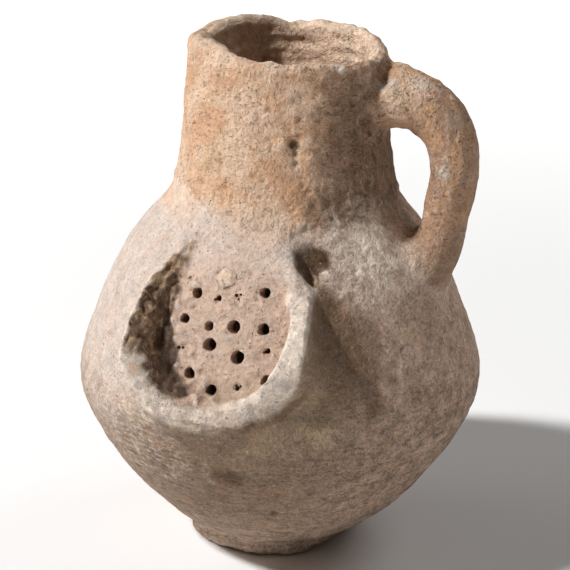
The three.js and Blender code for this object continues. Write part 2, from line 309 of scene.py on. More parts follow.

# Stains and pale crusts on the surface, and painted shadow, shade and light: place, radius, colour and
# strength
SPOTS = (
    # Painted shade under the spout, under its lip and on the lower body, with some brownish dirt
    ((-2, -70, 40), 30.0, "umber", 0.65),
    ((30, -52, 44), 28.0, "umber", 0.55),
    ((10, -74, 64), 15.0, "olive", 0.95),
    ((4, -78, 71), 8.0, "umber", 0.6),
    ((28, -66, 68), 15.0, "olive", 0.9),
    ((-4, -72, 56), 14.0, "umber", 0.4),
    ((36, -57, 74), 9.0, "ochre", 0.5),
    # Painted cast shadow of the spout's right side on the body, with some dirt
    ((38, -49, 90), 12.5, "umber", 0.95),
    ((35, -47, 99), 9.0, "umber", 0.9),
    ((30, -45, 104), 4.0, "umber", 0.8),
    ((33, -47, 101), 7.0, "umber", 0.8),
    ((44, -48, 79), 9.0, "umber", 0.6),
    ((0, -50, 114), 15.0, "beige", 0.6),
    # Painted shade in the neck's pit
    ((13.2, -31.2, 152.2), 1.7, "dark", 0.85),
    ((-2.4, -50.9, 111.2), 2.9, "tan", 0.35),
    # More painted cast shadow beside the spout's right side
    ((43, -46, 90), 9.0, "umber", 0.5),
    # Painted shade in the hollow outside the spout's right arm
    ((24.6, -39.5, 115.0), 3.6, "dark", 0.8),
    ((23.8, -42.0, 111.6), 2.6, "dark", 0.8),
    ((16.2, -43.8, 116.4), 2.3, "chalk", 0.55),
    ((18.3, -46.6, 112.4), 2.6, "chalk", 0.55),
    ((14.8, -41.6, 120), 2.0, "chalk", 0.5),
    ((48, -6, 172), 4.5, "chalk", 0.6),
    # Painted shade on the shaded inside of the spout's left wall, by its lip
    ((-19.9, -76.0, 88.2), 2.6, "dark", 0.85),
    ((-19.0, -74.1, 82.4), 2.2, "dark", 0.8),
    ((41, -10, 168), 8.0, "tan", 0.8),
    ((-25.0, -78.0, 84.0), 4.0, "ivory", 0.6),
    # Painted light on the right of the shoulder
    ((42, -25, 118), 14.0, "ivory", 0.95),
    ((33, -33, 121), 8.0, "cream", 0.6),
    ((-14, -32, 144), 4.5, "ochre", 0.3),
    ((-19, -29, 138), 4.0, "orange", 0.6),
    ((17, -37, 123), 1.0, "chalk", 0.9),
    ((28, -40, 113), 1.2, "chalk", 0.6),
    ((3.2, -66, 47.6), 4.6, "dark", 0.55),
    ((7.0, -65.5, 46.2), 3.6, "dark", 0.5),
    # Painted shade in the hollow outside the spout's right arm
    ((24.9, -37.8, 116.8), 4.0, "dark", 1.0),
    ((21.5, -39.5, 116.5), 5.2, "dark", 0.85),
    ((25, -21, 177), 2.4, "chalk", 0.6),
    ((37, -8, 170), 3.6, "chalk", 0.45),
    ((58, -9, 142), 2.6, "chalk", 0.6),
    ((-16, -79, 80), 2.2, "orange", 0.6),
    ((-23.5, -79.2, 86.5), 2.4, "orange", 0.45),
    ((-20.5, -77.5, 78.5), 1.6, "rosy", 0.6),
)

# Painted shadow along the foot of the spout's right side and painted shade under its lip, with some dirt:
# both ends, width and strength
SHADED_LINES = (
    ((26.5, -42, 108.5), (35, -45.5, 98.2), 3.6, 0.85),
    ((35, -45.5, 98.2), (42.6, -47.6, 86.0), 4.8, 0.9),
    ((42.6, -47.6, 86.0), (49.0, -47.5, 73.0), 5.4, 0.65),
    ((-8, -74.5, 69.0), (2.4, -73.6, 67.4), 1.5, 0.45),
    ((2.4, -73.6, 67.4), (12.1, -70.8, 67.2), 1.7, 0.6),
    ((12.1, -70.8, 67.2), (22.0, -67.0, 71.8), 1.9, 0.7),
    ((22.0, -67.0, 71.8), (29.2, -62.6, 78.8), 2.1, 0.8),
)

# Cracks in the clay: how wide, and the points along each
CRACK_WIDTH = 0.42
CRACKS = (
    ((0.6, -50.2, 112.2), (1.1, -52.3, 108.9), (-3.0, -53.1, 107.9)),
    ((-17, -49, 108.5), (-13, -50, 109.5)),
    ((-11.5, -56, 92), (-8.5, -57, 91.5)),
    ((34, 2, 179), (36, -3, 174)),
)

# Linear colours of the clay
CLAY_COLOURS = {
    # Cream and ivory also paint light on the right of the shoulder
    "cream": ((0.58, 0.485, 0.42), "Pale slip, and painted light, on the shoulder"),
    "ivory": ((0.80, 0.68, 0.565), "The spout's edge, and painted light on the shoulder"),
    "rosy": ((0.46, 0.28, 0.20), "Reddish patches"),
    "beige": ((0.60, 0.435, 0.335), "The strainer wall"),
    "pinkish": ((0.60, 0.412, 0.306), "Right side of the body"),
    "tan": ((0.77, 0.535, 0.37), "The neck's rough coat"),
    "orange": ((0.66, 0.385, 0.225), "Warm patches on the neck and the handle"),
    # Ochre also paints light on the lit fragments of the break
    "ochre": ((0.44, 0.30, 0.17), "Yellowish stains, and painted light on the break's fragments"),
    "taupe": ((0.37, 0.265, 0.192), "Lower body and foot"),
    # Olive is partly dirt and partly painted shade on the spout's outside and under it
    "olive": ((0.27, 0.185, 0.115), "Yellow-brown dirt and painted shade on the spout's outside"),
    "sand": ((0.80, 0.585, 0.43), "The neck's inside"),
    # Umber is dirt and also painted shade: in hollows, under the spout, in the spout's cast shadow, on the
    # neck's right side, on the left of the neck's inside and on the broken wall's inside
    "umber": ((0.20, 0.125, 0.075), "Dirt, and painted shade in hollows and shadows"),
    # Dark also paints shade in the arm's hollow, the neck's pit and on the inside of the spout's left wall
    "dark": ((0.085, 0.048, 0.024), "The broken edge's core, the cracks, and painted shade in deep hollows"),
    "chalk": ((0.76, 0.67, 0.58), "Lime crusts and worn ridges"),
}

# Kinds of surface that are written on the form for its clay to read
ZONES = ("hollow", "broad", "flank", "broken", "coat", "strainer", "lip", "inner", "strap")

# Node of the frame that each piece stands for
PIECES = {
    "foot_clay": "foot_disc",
    "body_clay": "pierced_body",
    "neck_clay": "neck",
    "coil_clay": "neck_luting_coil",
    "trough_clay": "spout_trough",
    "roll_clay": "spout_luting_roll",
    "strap_clay": "handle_strap",
    "handle_top_clay": "handle_top_luting",
    "handle_foot_clay": "handle_foot_luting",
}

# The photograph's camera: the point it faces, in metres, its lens and shift, in pixels, and its roll
JUG_MIDDLE = Vector((0, 0, 0.09))
PHOTO_PIXELS = 570
FOCAL_PIXELS = 2150
SHIFT_PIXELS = (3.3, 2.5)
SENSOR_WIDTH = 36
CAMERA_ROLL = math.radians(1.46)

# Lamps: name, azimuth and elevation, distance, share of the key's power, size
LAMPS = (
    ("key", math.radians(-51), math.radians(47), 2.2, 1.06, 0.2),
    ("left", math.radians(-95), math.radians(18), 1.6, 0.06, 0.8),
    ("right", math.radians(105), math.radians(52), 1.8, 0.05, 0.8),
    ("back", math.radians(150), math.radians(40), 1.8, 0.10, 0.8),
)

# The studio's floor, in metres: its size, and how far from the jug its glow starts and is full
FLOOR_SIZE = 6
GLOW_RANGE = (0.16, 0.9)
FLOOR_WHITE = (0.93, 0.93, 0.93, 1)
WARM_WHITE = (1, 0.9, 0.8, 1)

PIECE_TRIANGLES = 190000


def in_mm(metres):
    """A length from the panel in millimetres, without the panel's rounding."""
    return round(metres / MM, 4)


def object_from(name, shape):
    """Link a new object that holds a bmesh, with its faces pointing out."""
    bmesh.ops.remove_doubles(shape, verts=shape.verts, dist=1e-4)
    bmesh.ops.recalc_face_normals(shape, faces=shape.faces)
    mesh = bpy.data.meshes.new(name)
    shape.to_mesh(mesh)
    shape.free()
    solid = bpy.data.objects.new(name, mesh)
    bpy.context.collection.objects.link(solid)
    return solid


def discard(solid):
    """Remove an object and its mesh."""
    mesh = solid.data
    bpy.data.objects.remove(solid)
    bpy.data.meshes.remove(mesh)


def settle(solid):
    """Apply an object's modifiers to its mesh."""
    graph = bpy.context.evaluated_depsgraph_get()
    graph.update()
    finished = bpy.data.meshes.new_from_object(solid.evaluated_get(graph))
    worn = solid.data
    solid.modifiers.clear()
    solid.data = finished
    finished.name = solid.name
    bpy.data.meshes.remove(worn)
    return solid


def combined(solid, cutter, operation):
    """Cut, keep or join one solid with another."""
    step = solid.modifiers.new(operation.lower(), "BOOLEAN")
    step.operation = operation
    step.solver = "MANIFOLD"
    step.object = cutter
    return settle(solid)


def duplicate(solid, name):
    """A copy of a solid under its own name."""
    twin = bpy.data.objects.new(name, solid.data.copy())
    bpy.context.collection.objects.link(twin)
    return twin


def turned(name, outline, steps=120):
    """A solid of revolution about the jug's axis from an outline of (radius, height)."""
    shape = bmesh.new()
    points = [shape.verts.new((radius, 0, height)) for radius, height in outline]
    edges = [shape.edges.new(pair) for pair in zip(points, points[1:])]
    bmesh.ops.spin(
        shape,
        geom=points + edges,
        cent=(0, 0, 0),
        axis=(0, 0, 1),
        angle=math.tau,
        steps=steps,
        use_merge=True,
        use_duplicate=False,
    )
    return object_from(name, shape)


def lofted(name, places, segments=40, shapes=None):
    """A solid through rings, each given as a matrix, with its two ends closed."""
    shape = bmesh.new()
    before = None
    for number, place in enumerate(places):
        last = number in (0, len(places) - 1)
        ring = bmesh.ops.create_circle(shape, cap_ends=last, radius=1, segments=segments)["verts"]
        if shapes:
            for vert in ring:
                vert.co = shapes[number](vert.co.xy)
        bmesh.ops.transform(shape, matrix=place, verts=ring)
        inside = set(ring)
        edges = [e for e in shape.edges if e.verts[0] in inside and e.verts[1] in inside]
        if before:
            bmesh.ops.bridge_loops(shape, edges=before + edges)
        before = edges
    return object_from(name, shape)


def oval(name, place, around=24, rings=16):
    """A ball drawn out, turned and placed by a matrix."""
    shape = bmesh.new()
    bmesh.ops.create_uvsphere(shape, u_segments=around, v_segments=rings, radius=1)
    bmesh.ops.transform(shape, matrix=place, verts=shape.verts)
    return object_from(name, shape)


def rounded(start, near, far, end, steps):
    """A round way between two points, drawn by its two handles."""
    curve = interpolate_bezier(Vector(start), Vector(near), Vector(far), Vector(end), steps)
    return [tuple(point) for point in curve]


def stretch(start, end, near, far, steps=24):
    """A round stretch of outline; its two handles are shares of its way in radius and height."""
    handles = []
    for share in (near, far):
        handles.append([begin + (finish - begin) * part for begin, finish, part in zip(start, end, share)])
    return rounded(start, *handles, end, steps)


def wall_line():
    """The vessel's outside from the foot to the rim."""
    base = (BASE_RADIUS, FOOT_HEIGHT)
    belly = (BELLY_RADIUS, BELLY_HEIGHT)
    shoulder = (SHOULDER_RADIUS, SHOULDER_HEIGHT)
    return (
        stretch(base, belly, (0.54, 0.235), (1.02, 0.76))
        + stretch(belly, shoulder, (0.5, 0.85), (0.93, 0.93))[1:]
        + stretch(shoulder, (RIM_RADIUS, HEIGHT), (0.11, 0.065), (0.94, 0.0))[1:]
    )


def wall_radius(height):
    """The radius of the vessel's outside at a height."""
    line = np.array(wall_line())
    return np.interp(height, line[:, 1], line[:, 0])


def moved_in(line, distance):
    """The outline moved square to itself towards the axis."""
    points = np.array(line)
    along = np.gradient(points, axis=0)
    along /= np.linalg.norm(along, axis=1)[:, None]
    points[:, 0] -= along[:, 1] * distance
    points[:, 1] += along[:, 0] * distance
    return [tuple(point) for point in points]


def filled(name, growth):
    """The vessel's outside as a filled form, grown by a distance."""
    line = moved_in(wall_line(), -growth)
    return turned(name, [(0, line[0][1]), *line, (0, line[-1][1])])


def box(name, low, high):
    """A plain block between two corners."""
    shape = bmesh.new()
    bmesh.ops.create_cube(shape, size=1)
    size = Vector(high) - Vector(low)
    middle = (Vector(high) + Vector(low)) / 2
    bmesh.ops.scale(shape, vec=size, verts=shape.verts)
    bmesh.ops.translate(shape, vec=middle, verts=shape.verts)
    return object_from(name, shape)


def slab(name, low, high):
    """A block that takes in everything between two heights."""
    return box(name, (-BEYOND, -BEYOND, low), (BEYOND, BEYOND, high))


def spout_place(out):
    """The frame of the spout's ring: across, up and out along its rising line."""
    up = Vector((0, math.sin(SPOUT_RISE), math.cos(SPOUT_RISE)))
    along = Vector((0, -math.cos(SPOUT_RISE), math.sin(SPOUT_RISE)))
    place = Matrix((Vector((1, 0, 0)), up, along)).transposed().to_4x4()
    place.translation = Vector((0, -SPOUT_SEAT, SPOUT_HEIGHT)) + along * out
    return place


def spout_section(rings, rise, out, points):
    """Unit-circle points drawn out to the spout's section at a way out from the wall."""
    table = np.array(rings).T
    middle, half, depth, lean = (np.interp(out, table[0], row) for row in table[1:])
    low = np.minimum(points[:, 1], 0)
    across = middle + half * points[:, 0] - lean * low ** 2
    up = np.where(points[:, 1] > 0, rise * points[:, 1], depth * points[:, 1])
    if rings is SPOUT_OUTSIDE:
        pressed = np.interp(out, *zip(*SPOUT_PINCH))
        across -= pressed * ramp(up, -16, 4) * ramp(points[:, 0], 0.2, 0.7)
    if rings is SPOUT_INSIDE:
        pressed = np.interp(out, *zip(*CHANNEL_PINCH))
        across -= pressed * ramp(up, -2, 12) * ramp(points[:, 0], 0.2, 0.7)
    return np.stack([across, up], axis=1)


def skewed(points, way=1):
    """The spout's right side lies further back than its left; this moves points there, or back again."""
    moved = points.copy()
    moved[:, 1] += way * SPOUT_SKEW * (points[:, 0] - SPOUT_LEFT_EDGE)
    return moved


def skew(solid):
    """Move a solid of the spout to its skewed place."""
    put_points(solid.data, skewed(points_of(solid.data)))
    return solid


def spout_form(name, rings, rise, start, end):
    """A round-bottomed form drawn out along the spout through its rings."""
    def drawn_at(out):
        return lambda point: Vector((*spout_section(rings, rise, out, np.array([point]))[0], 0))
    ways = np.linspace(start, end, 18)
    return skew(lofted(name, [spout_place(out) for out in ways], 64, [drawn_at(out) for out in ways]))


def section_gap(points, rings, rise):
    """How far each point lies outside a form drawn out along the spout, roughly."""
    place = np.array(spout_place(0).inverted())
    local = skewed(points, -1) @ place[:3, :3].T + place[:3, 3]
    table = np.array(rings).T
    middle, half, depth, lean = (np.interp(local[:, 2], table[0], row) for row in table[1:])
    up = np.where(local[:, 1] > 0, local[:, 1] / rise, local[:, 1] / depth)
    across = (local[:, 0] - middle + lean * np.clip(-up, 0, 1) ** 2) / half
    return (np.hypot(across, up) - 1) * half


def edge_curve():
    """The spout's cut edge seen from the side, from its mouth up to the wall, as (back, up)."""
    mouth = (-SPOUT_REACH, 90)
    bend = (-58, 108)
    wall = (-40, 124)
    lower = rounded(mouth, (-SPOUT_REACH, 99), (-66, 104.5), bend, 14)
    upper = rounded(bend, (-50, 111.5), (-43, 117), wall, 10)
    lip = [(-SPOUT_REACH + back, height) for back, height in LIP_SLANT]
    return [*lip, *lower[2:], *upper[1:]]


def broken_share(across, back):
    """1 where the spout's left wall is broken away to its full depth below its old edge."""
    slant = ramp(across, -30, -20) * ramp(-across, 0, 10)
    return slant * ramp(-back, 40, 46) * ramp(back, -SPOUT_REACH + 1, -SPOUT_REACH + 7)


def spout_edge(name, break_depth):
    """Everything beyond the spout's mouth and above its arms, lower over the broken left wall."""
    curve = edge_curve()
    outline = [(-SPOUT_REACH, 0), *curve, (curve[-1][0], 220), (-220, 220), (-220, 0)]
    shape = bmesh.new()
    corners = [shape.verts.new((-120, y, z)) for y, z in outline]
    face = shape.faces.new(corners)
    drawn = bmesh.ops.extrude_face_region(shape, geom=[face])["geom"]
    moved = [part for part in drawn if isinstance(part, bmesh.types.BMVert)]
    bmesh.ops.translate(shape, vec=(240, 0, 0), verts=moved)
    for across in np.arange(-34, 12, 2.0):
        everything = [*shape.verts, *shape.edges, *shape.faces]
        bmesh.ops.bisect_plane(shape, geom=everything, plane_co=(across, 0, 0), plane_no=(1, 0, 0))
    for vert in shape.verts:
        across, back, height = vert.co
        if 80 < height < 130:
            near = 9 * ramp(across, 2, 8) + 3 * ramp(-across, 12, 16)
            far = 3 * ramp(across, 6, 16) * ramp(back, -79, -70)
            broken = break_depth * broken_share(across, back)
            vert.co.z += float(near * ramp(back, -58, -50) + far - broken)
    return skew(object_from(name, shape))


def handle_line(steps=60):
    """The handle's knots with smooth ways between them."""
    knots = np.array(HANDLE_LINE)
    share = np.linspace(0, 1, len(knots))
    wanted = np.linspace(0, 1, steps)
    return np.stack([smooth_through(share, knots[:, k], wanted) for k in range(4)], axis=1)


def handle_places(grown):
    """Rings along the handle's line, grown by a share."""
    dense = handle_line()
    along = np.gradient(dense[:, :2], axis=0)
    places = []
    for (out, up, thick, wide), way in zip(dense, along):
        forward = Vector((way[0], 0, way[1])).normalized()
        across = Vector((0, 1, 0))
        side = across.cross(forward)
        place = Matrix((side, across, forward)).transposed().to_4x4()
        place.translation = Vector((out, 0, up))
        places.append(place @ Matrix.Diagonal((thick * grown, wide * grown, 1, 1)))
    return places


def smooth_through(at, values, wanted):
    """A smooth line through values, by a cubic between each pair."""
    slopes = np.gradient(values, at)
    index = np.clip(np.searchsorted(at, wanted) - 1, 0, len(at) - 2)
    width = at[index + 1] - at[index]
    t = (wanted - at[index]) / width
    low, high = values[index], values[index + 1]
    low_slope, high_slope = slopes[index] * width, slopes[index + 1] * width
    return (
        low * (1 + 2 * t) * (1 - t) ** 2
        + low_slope * t * (1 - t) ** 2
        + high * t * t * (3 - 2 * t)
        + high_slope * t * t * (t - 1)
    )


def join(name, solids):
    """Put several solids into one mesh and remove them."""
    shape = bmesh.new()
    for solid in solids:
        shape.from_mesh(solid.data)
        discard(solid)
    mesh = bpy.data.meshes.new(name)
    shape.to_mesh(mesh)
    shape.free()
    whole = bpy.data.objects.new(name, mesh)
    bpy.context.collection.objects.link(whole)
    return whole


def remeshed(solid, size):
    """One even skin over everything that a mesh holds."""
    step = solid.modifiers.new("skin", "REMESH")
    step.mode = "VOXEL"
    step.voxel_size = size
    return settle(solid)


def points_of(mesh):
    """The mesh's vertices as rows of numbers."""
    values = np.empty(len(mesh.vertices) * 3)
    mesh.vertices.foreach_get("co", values)
    return values.reshape(-1, 3)


def normals_of(mesh):
    """The mesh's vertex normals as rows of numbers."""
    values = np.empty(len(mesh.vertices) * 3)
    mesh.vertex_normals.foreach_get("vector", values)
    return values.reshape(-1, 3)


def put_points(mesh, points):
    """Move the mesh's vertices."""
    mesh.vertices.foreach_set("co", points.ravel())
    mesh.update()


def relax(mesh, weight, rounds):
    """Smooth the surface where the weight is above nought."""
    pairs = np.empty(len(mesh.edges) * 2, np.int64)
    mesh.edges.foreach_get("vertices", pairs)
    pairs = pairs.reshape(-1, 2)
    active = weight > 0.01
    pairs = pairs[active[pairs].any(axis=1)]
    used, local = np.unique(pairs, return_inverse=True)
    first, second = local.reshape(-1, 2).T
    points = points_of(mesh)
    near = points[used]
    size = len(used)
    count = np.bincount(first, minlength=size) + np.bincount(second, minlength=size)
    share = np.where(active[used], weight[used], 0)[:, None]
    for _ in range(rounds):
        total = np.stack([
            np.bincount(first, column[second], size) + np.bincount(second, column[first], size)
            for column in near.T
        ], axis=1)
        near += share * (total / count[:, None] - near)
    points[used] = near
    put_points(mesh, points)


def rough(points, size, seed=0.0):
    """Smooth noise from -1 to 1 with features of about a size."""
    return np.array([noise.noise(point) for point in (points / size + seed).tolist()])


def ramp(values, low, high):
    """A smooth rise from 0 at low to 1 at high."""
    share = np.clip((values - low) / (high - low), 0, 1)
    return share * share * (3 - 2 * share)


def bell(values, width):
    """1 at nought, falling away over a width."""
    return np.exp(-(values / width) ** 2)


def wall_gap(points):
    """How far each point lies outside the vessel's wall line."""
    line = np.array([(FOOT_RADIUS, 0.0)] + wall_line())
    slope = np.gradient(line, axis=0)
    lean = slope[:, 1] / np.linalg.norm(slope, axis=1)
    radius = np.hypot(points[:, 0], points[:, 1])
    heights = points[:, 2]
    return (radius - np.interp(heights, line[:, 1], line[:, 0])) * np.interp(heights, line[:, 1], lean)


def handle_gap(points):
    """How far each point lies outside the handle's strap."""
    dense = handle_line()
    near = np.full(len(points), 1e9)
    close = points[:, 0] > 20
    some = points[close]
    gap = near[close]
    for out, up, thick, wide in dense:
        away = np.hypot(some[:, 0] - out, some[:, 2] - up) / thick
        shape = np.hypot(away, some[:, 1] / wide) - 1
        gap = np.minimum(gap, shape * (thick + wide) / 2)
    near[close] = gap
    return near


def way_round(points):
    """Each point's way round the jug from the spout, in degrees, positive towards the handle."""
    return np.degrees(np.arctan2(points[:, 0], -points[:, 1]))


def read_round(table, degrees):
    """A value from a table of (way round, value)."""
    at, values = zip(*table)
    return np.interp(degrees, at, values)


def neck_bore(name, depth):
    """The neck's inside from the mouth down, pinched like the mouth and grooved by fingers."""
    heights = np.linspace(depth, HEIGHT + 6, 40)
    bore = turned(name, [(0, heights[0])] + [(NECK_BORE, h) for h in heights] + [(0, heights[-1])], 96)
    points = points_of(bore.data)
    radius = np.hypot(points[:, 0], points[:, 1])
    mouth = read_round(MOUTH_RADII, way_round(points)) / NECK_BORE
    share = ramp(points[:, 2], HEIGHT - 40, HEIGHT - 6)
    groove = 1 + 0.025 * np.sin(points[:, 2] * 0.52 + np.radians(way_round(points))) * (1 - share * 0.7)
    scale = (1 + (mouth - 1) * share) * np.where(radius > 1, groove, 1)
    points[:, 0] *= scale
    points[:, 1] *= scale
    put_points(bore.data, points)
    return bore


def pressed_lump(centre, spread):
    """A lump of clay left under the skin, such as the one between the rim and the handle."""
    return oval("lump", Matrix.Translation(centre) @ Matrix.Diagonal((*spread, 1)))


def arm_hollow(name):
    """The oval that was pressed in outside the spout's right arm."""
    outward = ARM_HOLLOW_OUT
    across = outward.cross(ARM_HOLLOW_ALONG).normalized()
    place = Matrix((across, outward.cross(across) * -1, outward)).transposed().to_4x4()
    place.translation = ARM_HOLLOW + outward
    return oval(name, place @ Matrix.Diagonal((*ARM_HOLLOW_SIZE, 1)), 28, 18)


def raw_form(skin, break_depth):
    """Vessel, spout and handle under one skin, with the neck's bore open."""
    outline = [(0, 0), (FOOT_RADIUS - 1.5, 0), (FOOT_RADIUS, 1.5), (FOOT_RADIUS, FOOT_HEIGHT - 1)]
    line = wall_line()
    vessel = turned("vessel", outline + line + [(0, line[-1][1])])
    strap = lofted("strap", handle_places(1.0))
    combined(vessel, strap, "UNION")
    discard(strap)
    bore = neck_bore("bore", BORE_FLOOR)
    combined(vessel, bore, "DIFFERENCE")
    discard(bore)
    horn = spout_form("horn", SPOUT_OUTSIDE, SPOUT_OUTSIDE_RISE, -40, 40)
    channel = spout_form("channel", SPOUT_INSIDE, SPOUT_INSIDE_RISE, -42, 42)
    hollow = arm_hollow("hollow")
    combined(vessel, hollow, "DIFFERENCE")
    for cutter in (channel, spout_edge("edge", break_depth), hollow):
        combined(horn, cutter, "DIFFERENCE")
        discard(cutter)
    lumps = [pressed_lump(*lump) for lump in LUMPS]
    return remeshed(join("form", [vessel, horn, *lumps]), skin)


def soften(mesh):
    """Round the belly's turn, the joints and the edges, as wet fingers did."""
    points = points_of(mesh)
    wall = wall_gap(points)
    spout = section_gap(points, SPOUT_OUTSIDE, SPOUT_OUTSIDE_RISE)
    strap = handle_gap(points)
    heights = points[:, 2]
    relax(mesh, bell(heights - BELLY_HEIGHT, 11), 110)
    shoulder = bell(heights - SHOULDER_HEIGHT, 6)
    relax(mesh, shoulder, 40)
    right = ramp(points[:, 0], -4, 16)
    crease = bell(wall, 6) * bell(spout, 6)
    low = ramp(-heights, -104, -92)
    relax(mesh, crease * (0.3 + 0.5 * right * low), 20)
    relax(mesh, crease * right * low, 22)
    relax(mesh, bell(wall, 8) * bell(strap, 8), 70)
    inside = section_gap(points, SPOUT_INSIDE, SPOUT_INSIDE_RISE)
    relax(mesh, bell(wall, 3.5) * bell(inside, 3.5) * ramp(-points[:, 1], 44, 50), 40)
    lip = ramp(heights, HEIGHT - 6, HEIGHT - 2)
    relax(mesh, lip, 5)
    edge = ramp(wall, 1.5, 4) * ramp(-np.abs(spout), -9, -6) * ramp(-points[:, 1], 20, 30)
    relax(mesh, edge, 3)
    relax(mesh, edge * ramp(-heights, -86, -77), 4)
    radius = np.hypot(points[:, 0], points[:, 1])
    relax(mesh, bell(heights - FOOT_HEIGHT, 3) * ramp(radius, 22, 26), 26)
    relax(mesh, np.ones(len(points)), 2)


def edge_distance(points):
    """How far each point lies from the spout's cut edge, seen from the side."""
    curve = np.array(edge_curve())
    flat = skewed(points, -1)[:, 1:]
    nearest = np.full(len(points), 1e9)
    for start, end in zip(curve, curve[1:]):
        along = end - start
        share = np.clip((flat - start) @ along / (along @ along), 0, 1)
        away = flat - (start + share[:, None] * along)
        nearest = np.minimum(nearest, np.hypot(away[:, 0], away[:, 1]))
    return nearest


def broken_zone(points):
    """1 on the spout's broken left wall, its broken top and its rough inside."""
    outside = section_gap(points, SPOUT_OUTSIDE, SPOUT_OUTSIDE_RISE)
    left = ramp(-points[:, 0], 14.5, 18)
    ragged = 3.5 * rough(points, 4.5, 41)
    lowest = 76 + 13 * ramp(-skewed(points, -1)[:, 1], SPOUT_REACH - 5, SPOUT_REACH - 2)
    height = ramp(points[:, 2] + ragged - lowest, 0, 6) * ramp(-points[:, 2] - ragged, -125, -121)
    inside = section_gap(points, SPOUT_INSIDE, SPOUT_INSIDE_RISE)
    band = ramp(-outside + 0.4 * ragged, 0.3, 1.4) * ramp(inside + 0.6 * ragged, -4.5, -2)
    front = ramp(-points[:, 1], 30, 36)
    return left * height * band * front * ramp(wall_gap(points), -0.4, 0.4)


def coat_zone(points):
    """1 on the neck's rough coat, above its ragged lower edge."""
    radius = np.hypot(points[:, 0], points[:, 1])
    edge = read_round(COAT_EDGE, way_round(points))
    edge = edge + 3.2 * rough(points, 9, 21) + 1.6 * rough(points, 3, 23)
    return ramp(points[:, 2] - edge, 0, 1.6) * ramp(radius, 25, 29)


def strainer_zone(points):
    """1 on the pierced wall inside the spout and on the channel's floor."""
    inside = section_gap(points, SPOUT_INSIDE, SPOUT_INSIDE_RISE)
    return ramp(-inside, -0.8, 0.8) * ramp(-points[:, 1], 42, 47) * ramp(-points[:, 2], -118, -108)


def lip_zone(points):
    """1 on the spout's cut edge."""
    standing = ramp(wall_gap(points), 0.5, 2) * ramp(-points[:, 1], 38, 44)
    spout = ramp(-section_gap(points, SPOUT_OUTSIDE, SPOUT_OUTSIDE_RISE), -3, -1)
    return ramp(-edge_distance(points), -3.0, -1.2) * standing * spout


def flank_zone(points):
    """1 on the outside of the spout, below its edge."""
    inside = section_gap(points, SPOUT_INSIDE, SPOUT_INSIDE_RISE)
    standing = ramp(wall_gap(points), 0.8, 3.0) * ramp(-points[:, 1], 34, 40)
    away = ramp(edge_distance(points), 0.8, 2.0)
    return ramp(inside, 2.5, 5.0) * standing * away * ramp(points[:, 0], -30, 6)


def inner_zone(points, normals):
    """1 on surfaces that face the jug's axis, above the neck's joint."""
    radius = np.maximum(np.hypot(points[:, 0], points[:, 1]), 1)
    facing = -(points[:, :2] * normals[:, :2]).sum(axis=1) / radius
    return ramp(facing, -0.1, 0.35) * ramp(points[:, 2], 122, 126) * ramp(-radius, -34, -31)


def hollow_zone(mesh, rounds):
    """How far each point lies below its smoothed surroundings, in millimetres."""
    before = points_of(mesh)
    relax(mesh, np.full(len(before), 0.9), rounds)
    after = points_of(mesh)
    put_points(mesh, before)
    return ((after - before) * normals_of(mesh)).sum(axis=1)


def push(points, normals, centre, radius, depth):
    """Press a round hollow into the surface, or raise a lump where the depth is below nought."""
    away = np.linalg.norm(points - np.array(centre), axis=1)
    near = away < radius * 2.4
    points[near] -= normals[near] * (depth * bell(away[near], radius))[:, None]


def scattered(mesh, zone, count, seed, sizes, depths):
    """Small pits and crumbs at random places where a zone is above one half."""
    chance = np.random.default_rng(seed)
    points = points_of(mesh)
    normals = normals_of(mesh)
    inside = np.flatnonzero(zone > 0.5)
    for index in chance.choice(inside, count):
        push(points, normals, points[index].copy(), chance.uniform(*sizes), chance.uniform(*depths))
    put_points(mesh, points)


def hole_mouth(across, up):
    """Where a strainer hole opens in the outside of the wall."""
    height = STRAINER_HEIGHT + up
    return (across, -math.sqrt(wall_radius(height) ** 2 - across ** 2), height)


def reshape(mesh, fullness):
    """Set the belly's fullness and the rim's uneven height."""
    points = points_of(mesh)
    radius = np.hypot(points[:, 0], points[:, 1])
    degrees = way_round(points)
    on_wall = bell(wall_gap(points), 8)
    to_the_handle = 1 + 0.5 * ramp(degrees, 30, 100)
    fuller = fullness * bell(points[:, 2] - BELLY_HEIGHT, 26) * to_the_handle * on_wall
    points[:, :2] *= (1 + fuller / np.maximum(radius, 10))[:, None]
    notches = 0.7 * rough(points, 6, 51) + 0.35 * rough(points, 2.6, 53)
    drop = read_round(RIM_HEIGHTS, degrees) + notches - 0.4 - HEIGHT
    by_the_rim = ramp(points[:, 2], HEIGHT - 35, HEIGHT - 2) * ramp(-radius, -41, -34)
    points[:, 2] += by_the_rim * np.minimum(drop, 0)
    put_points(mesh, points)


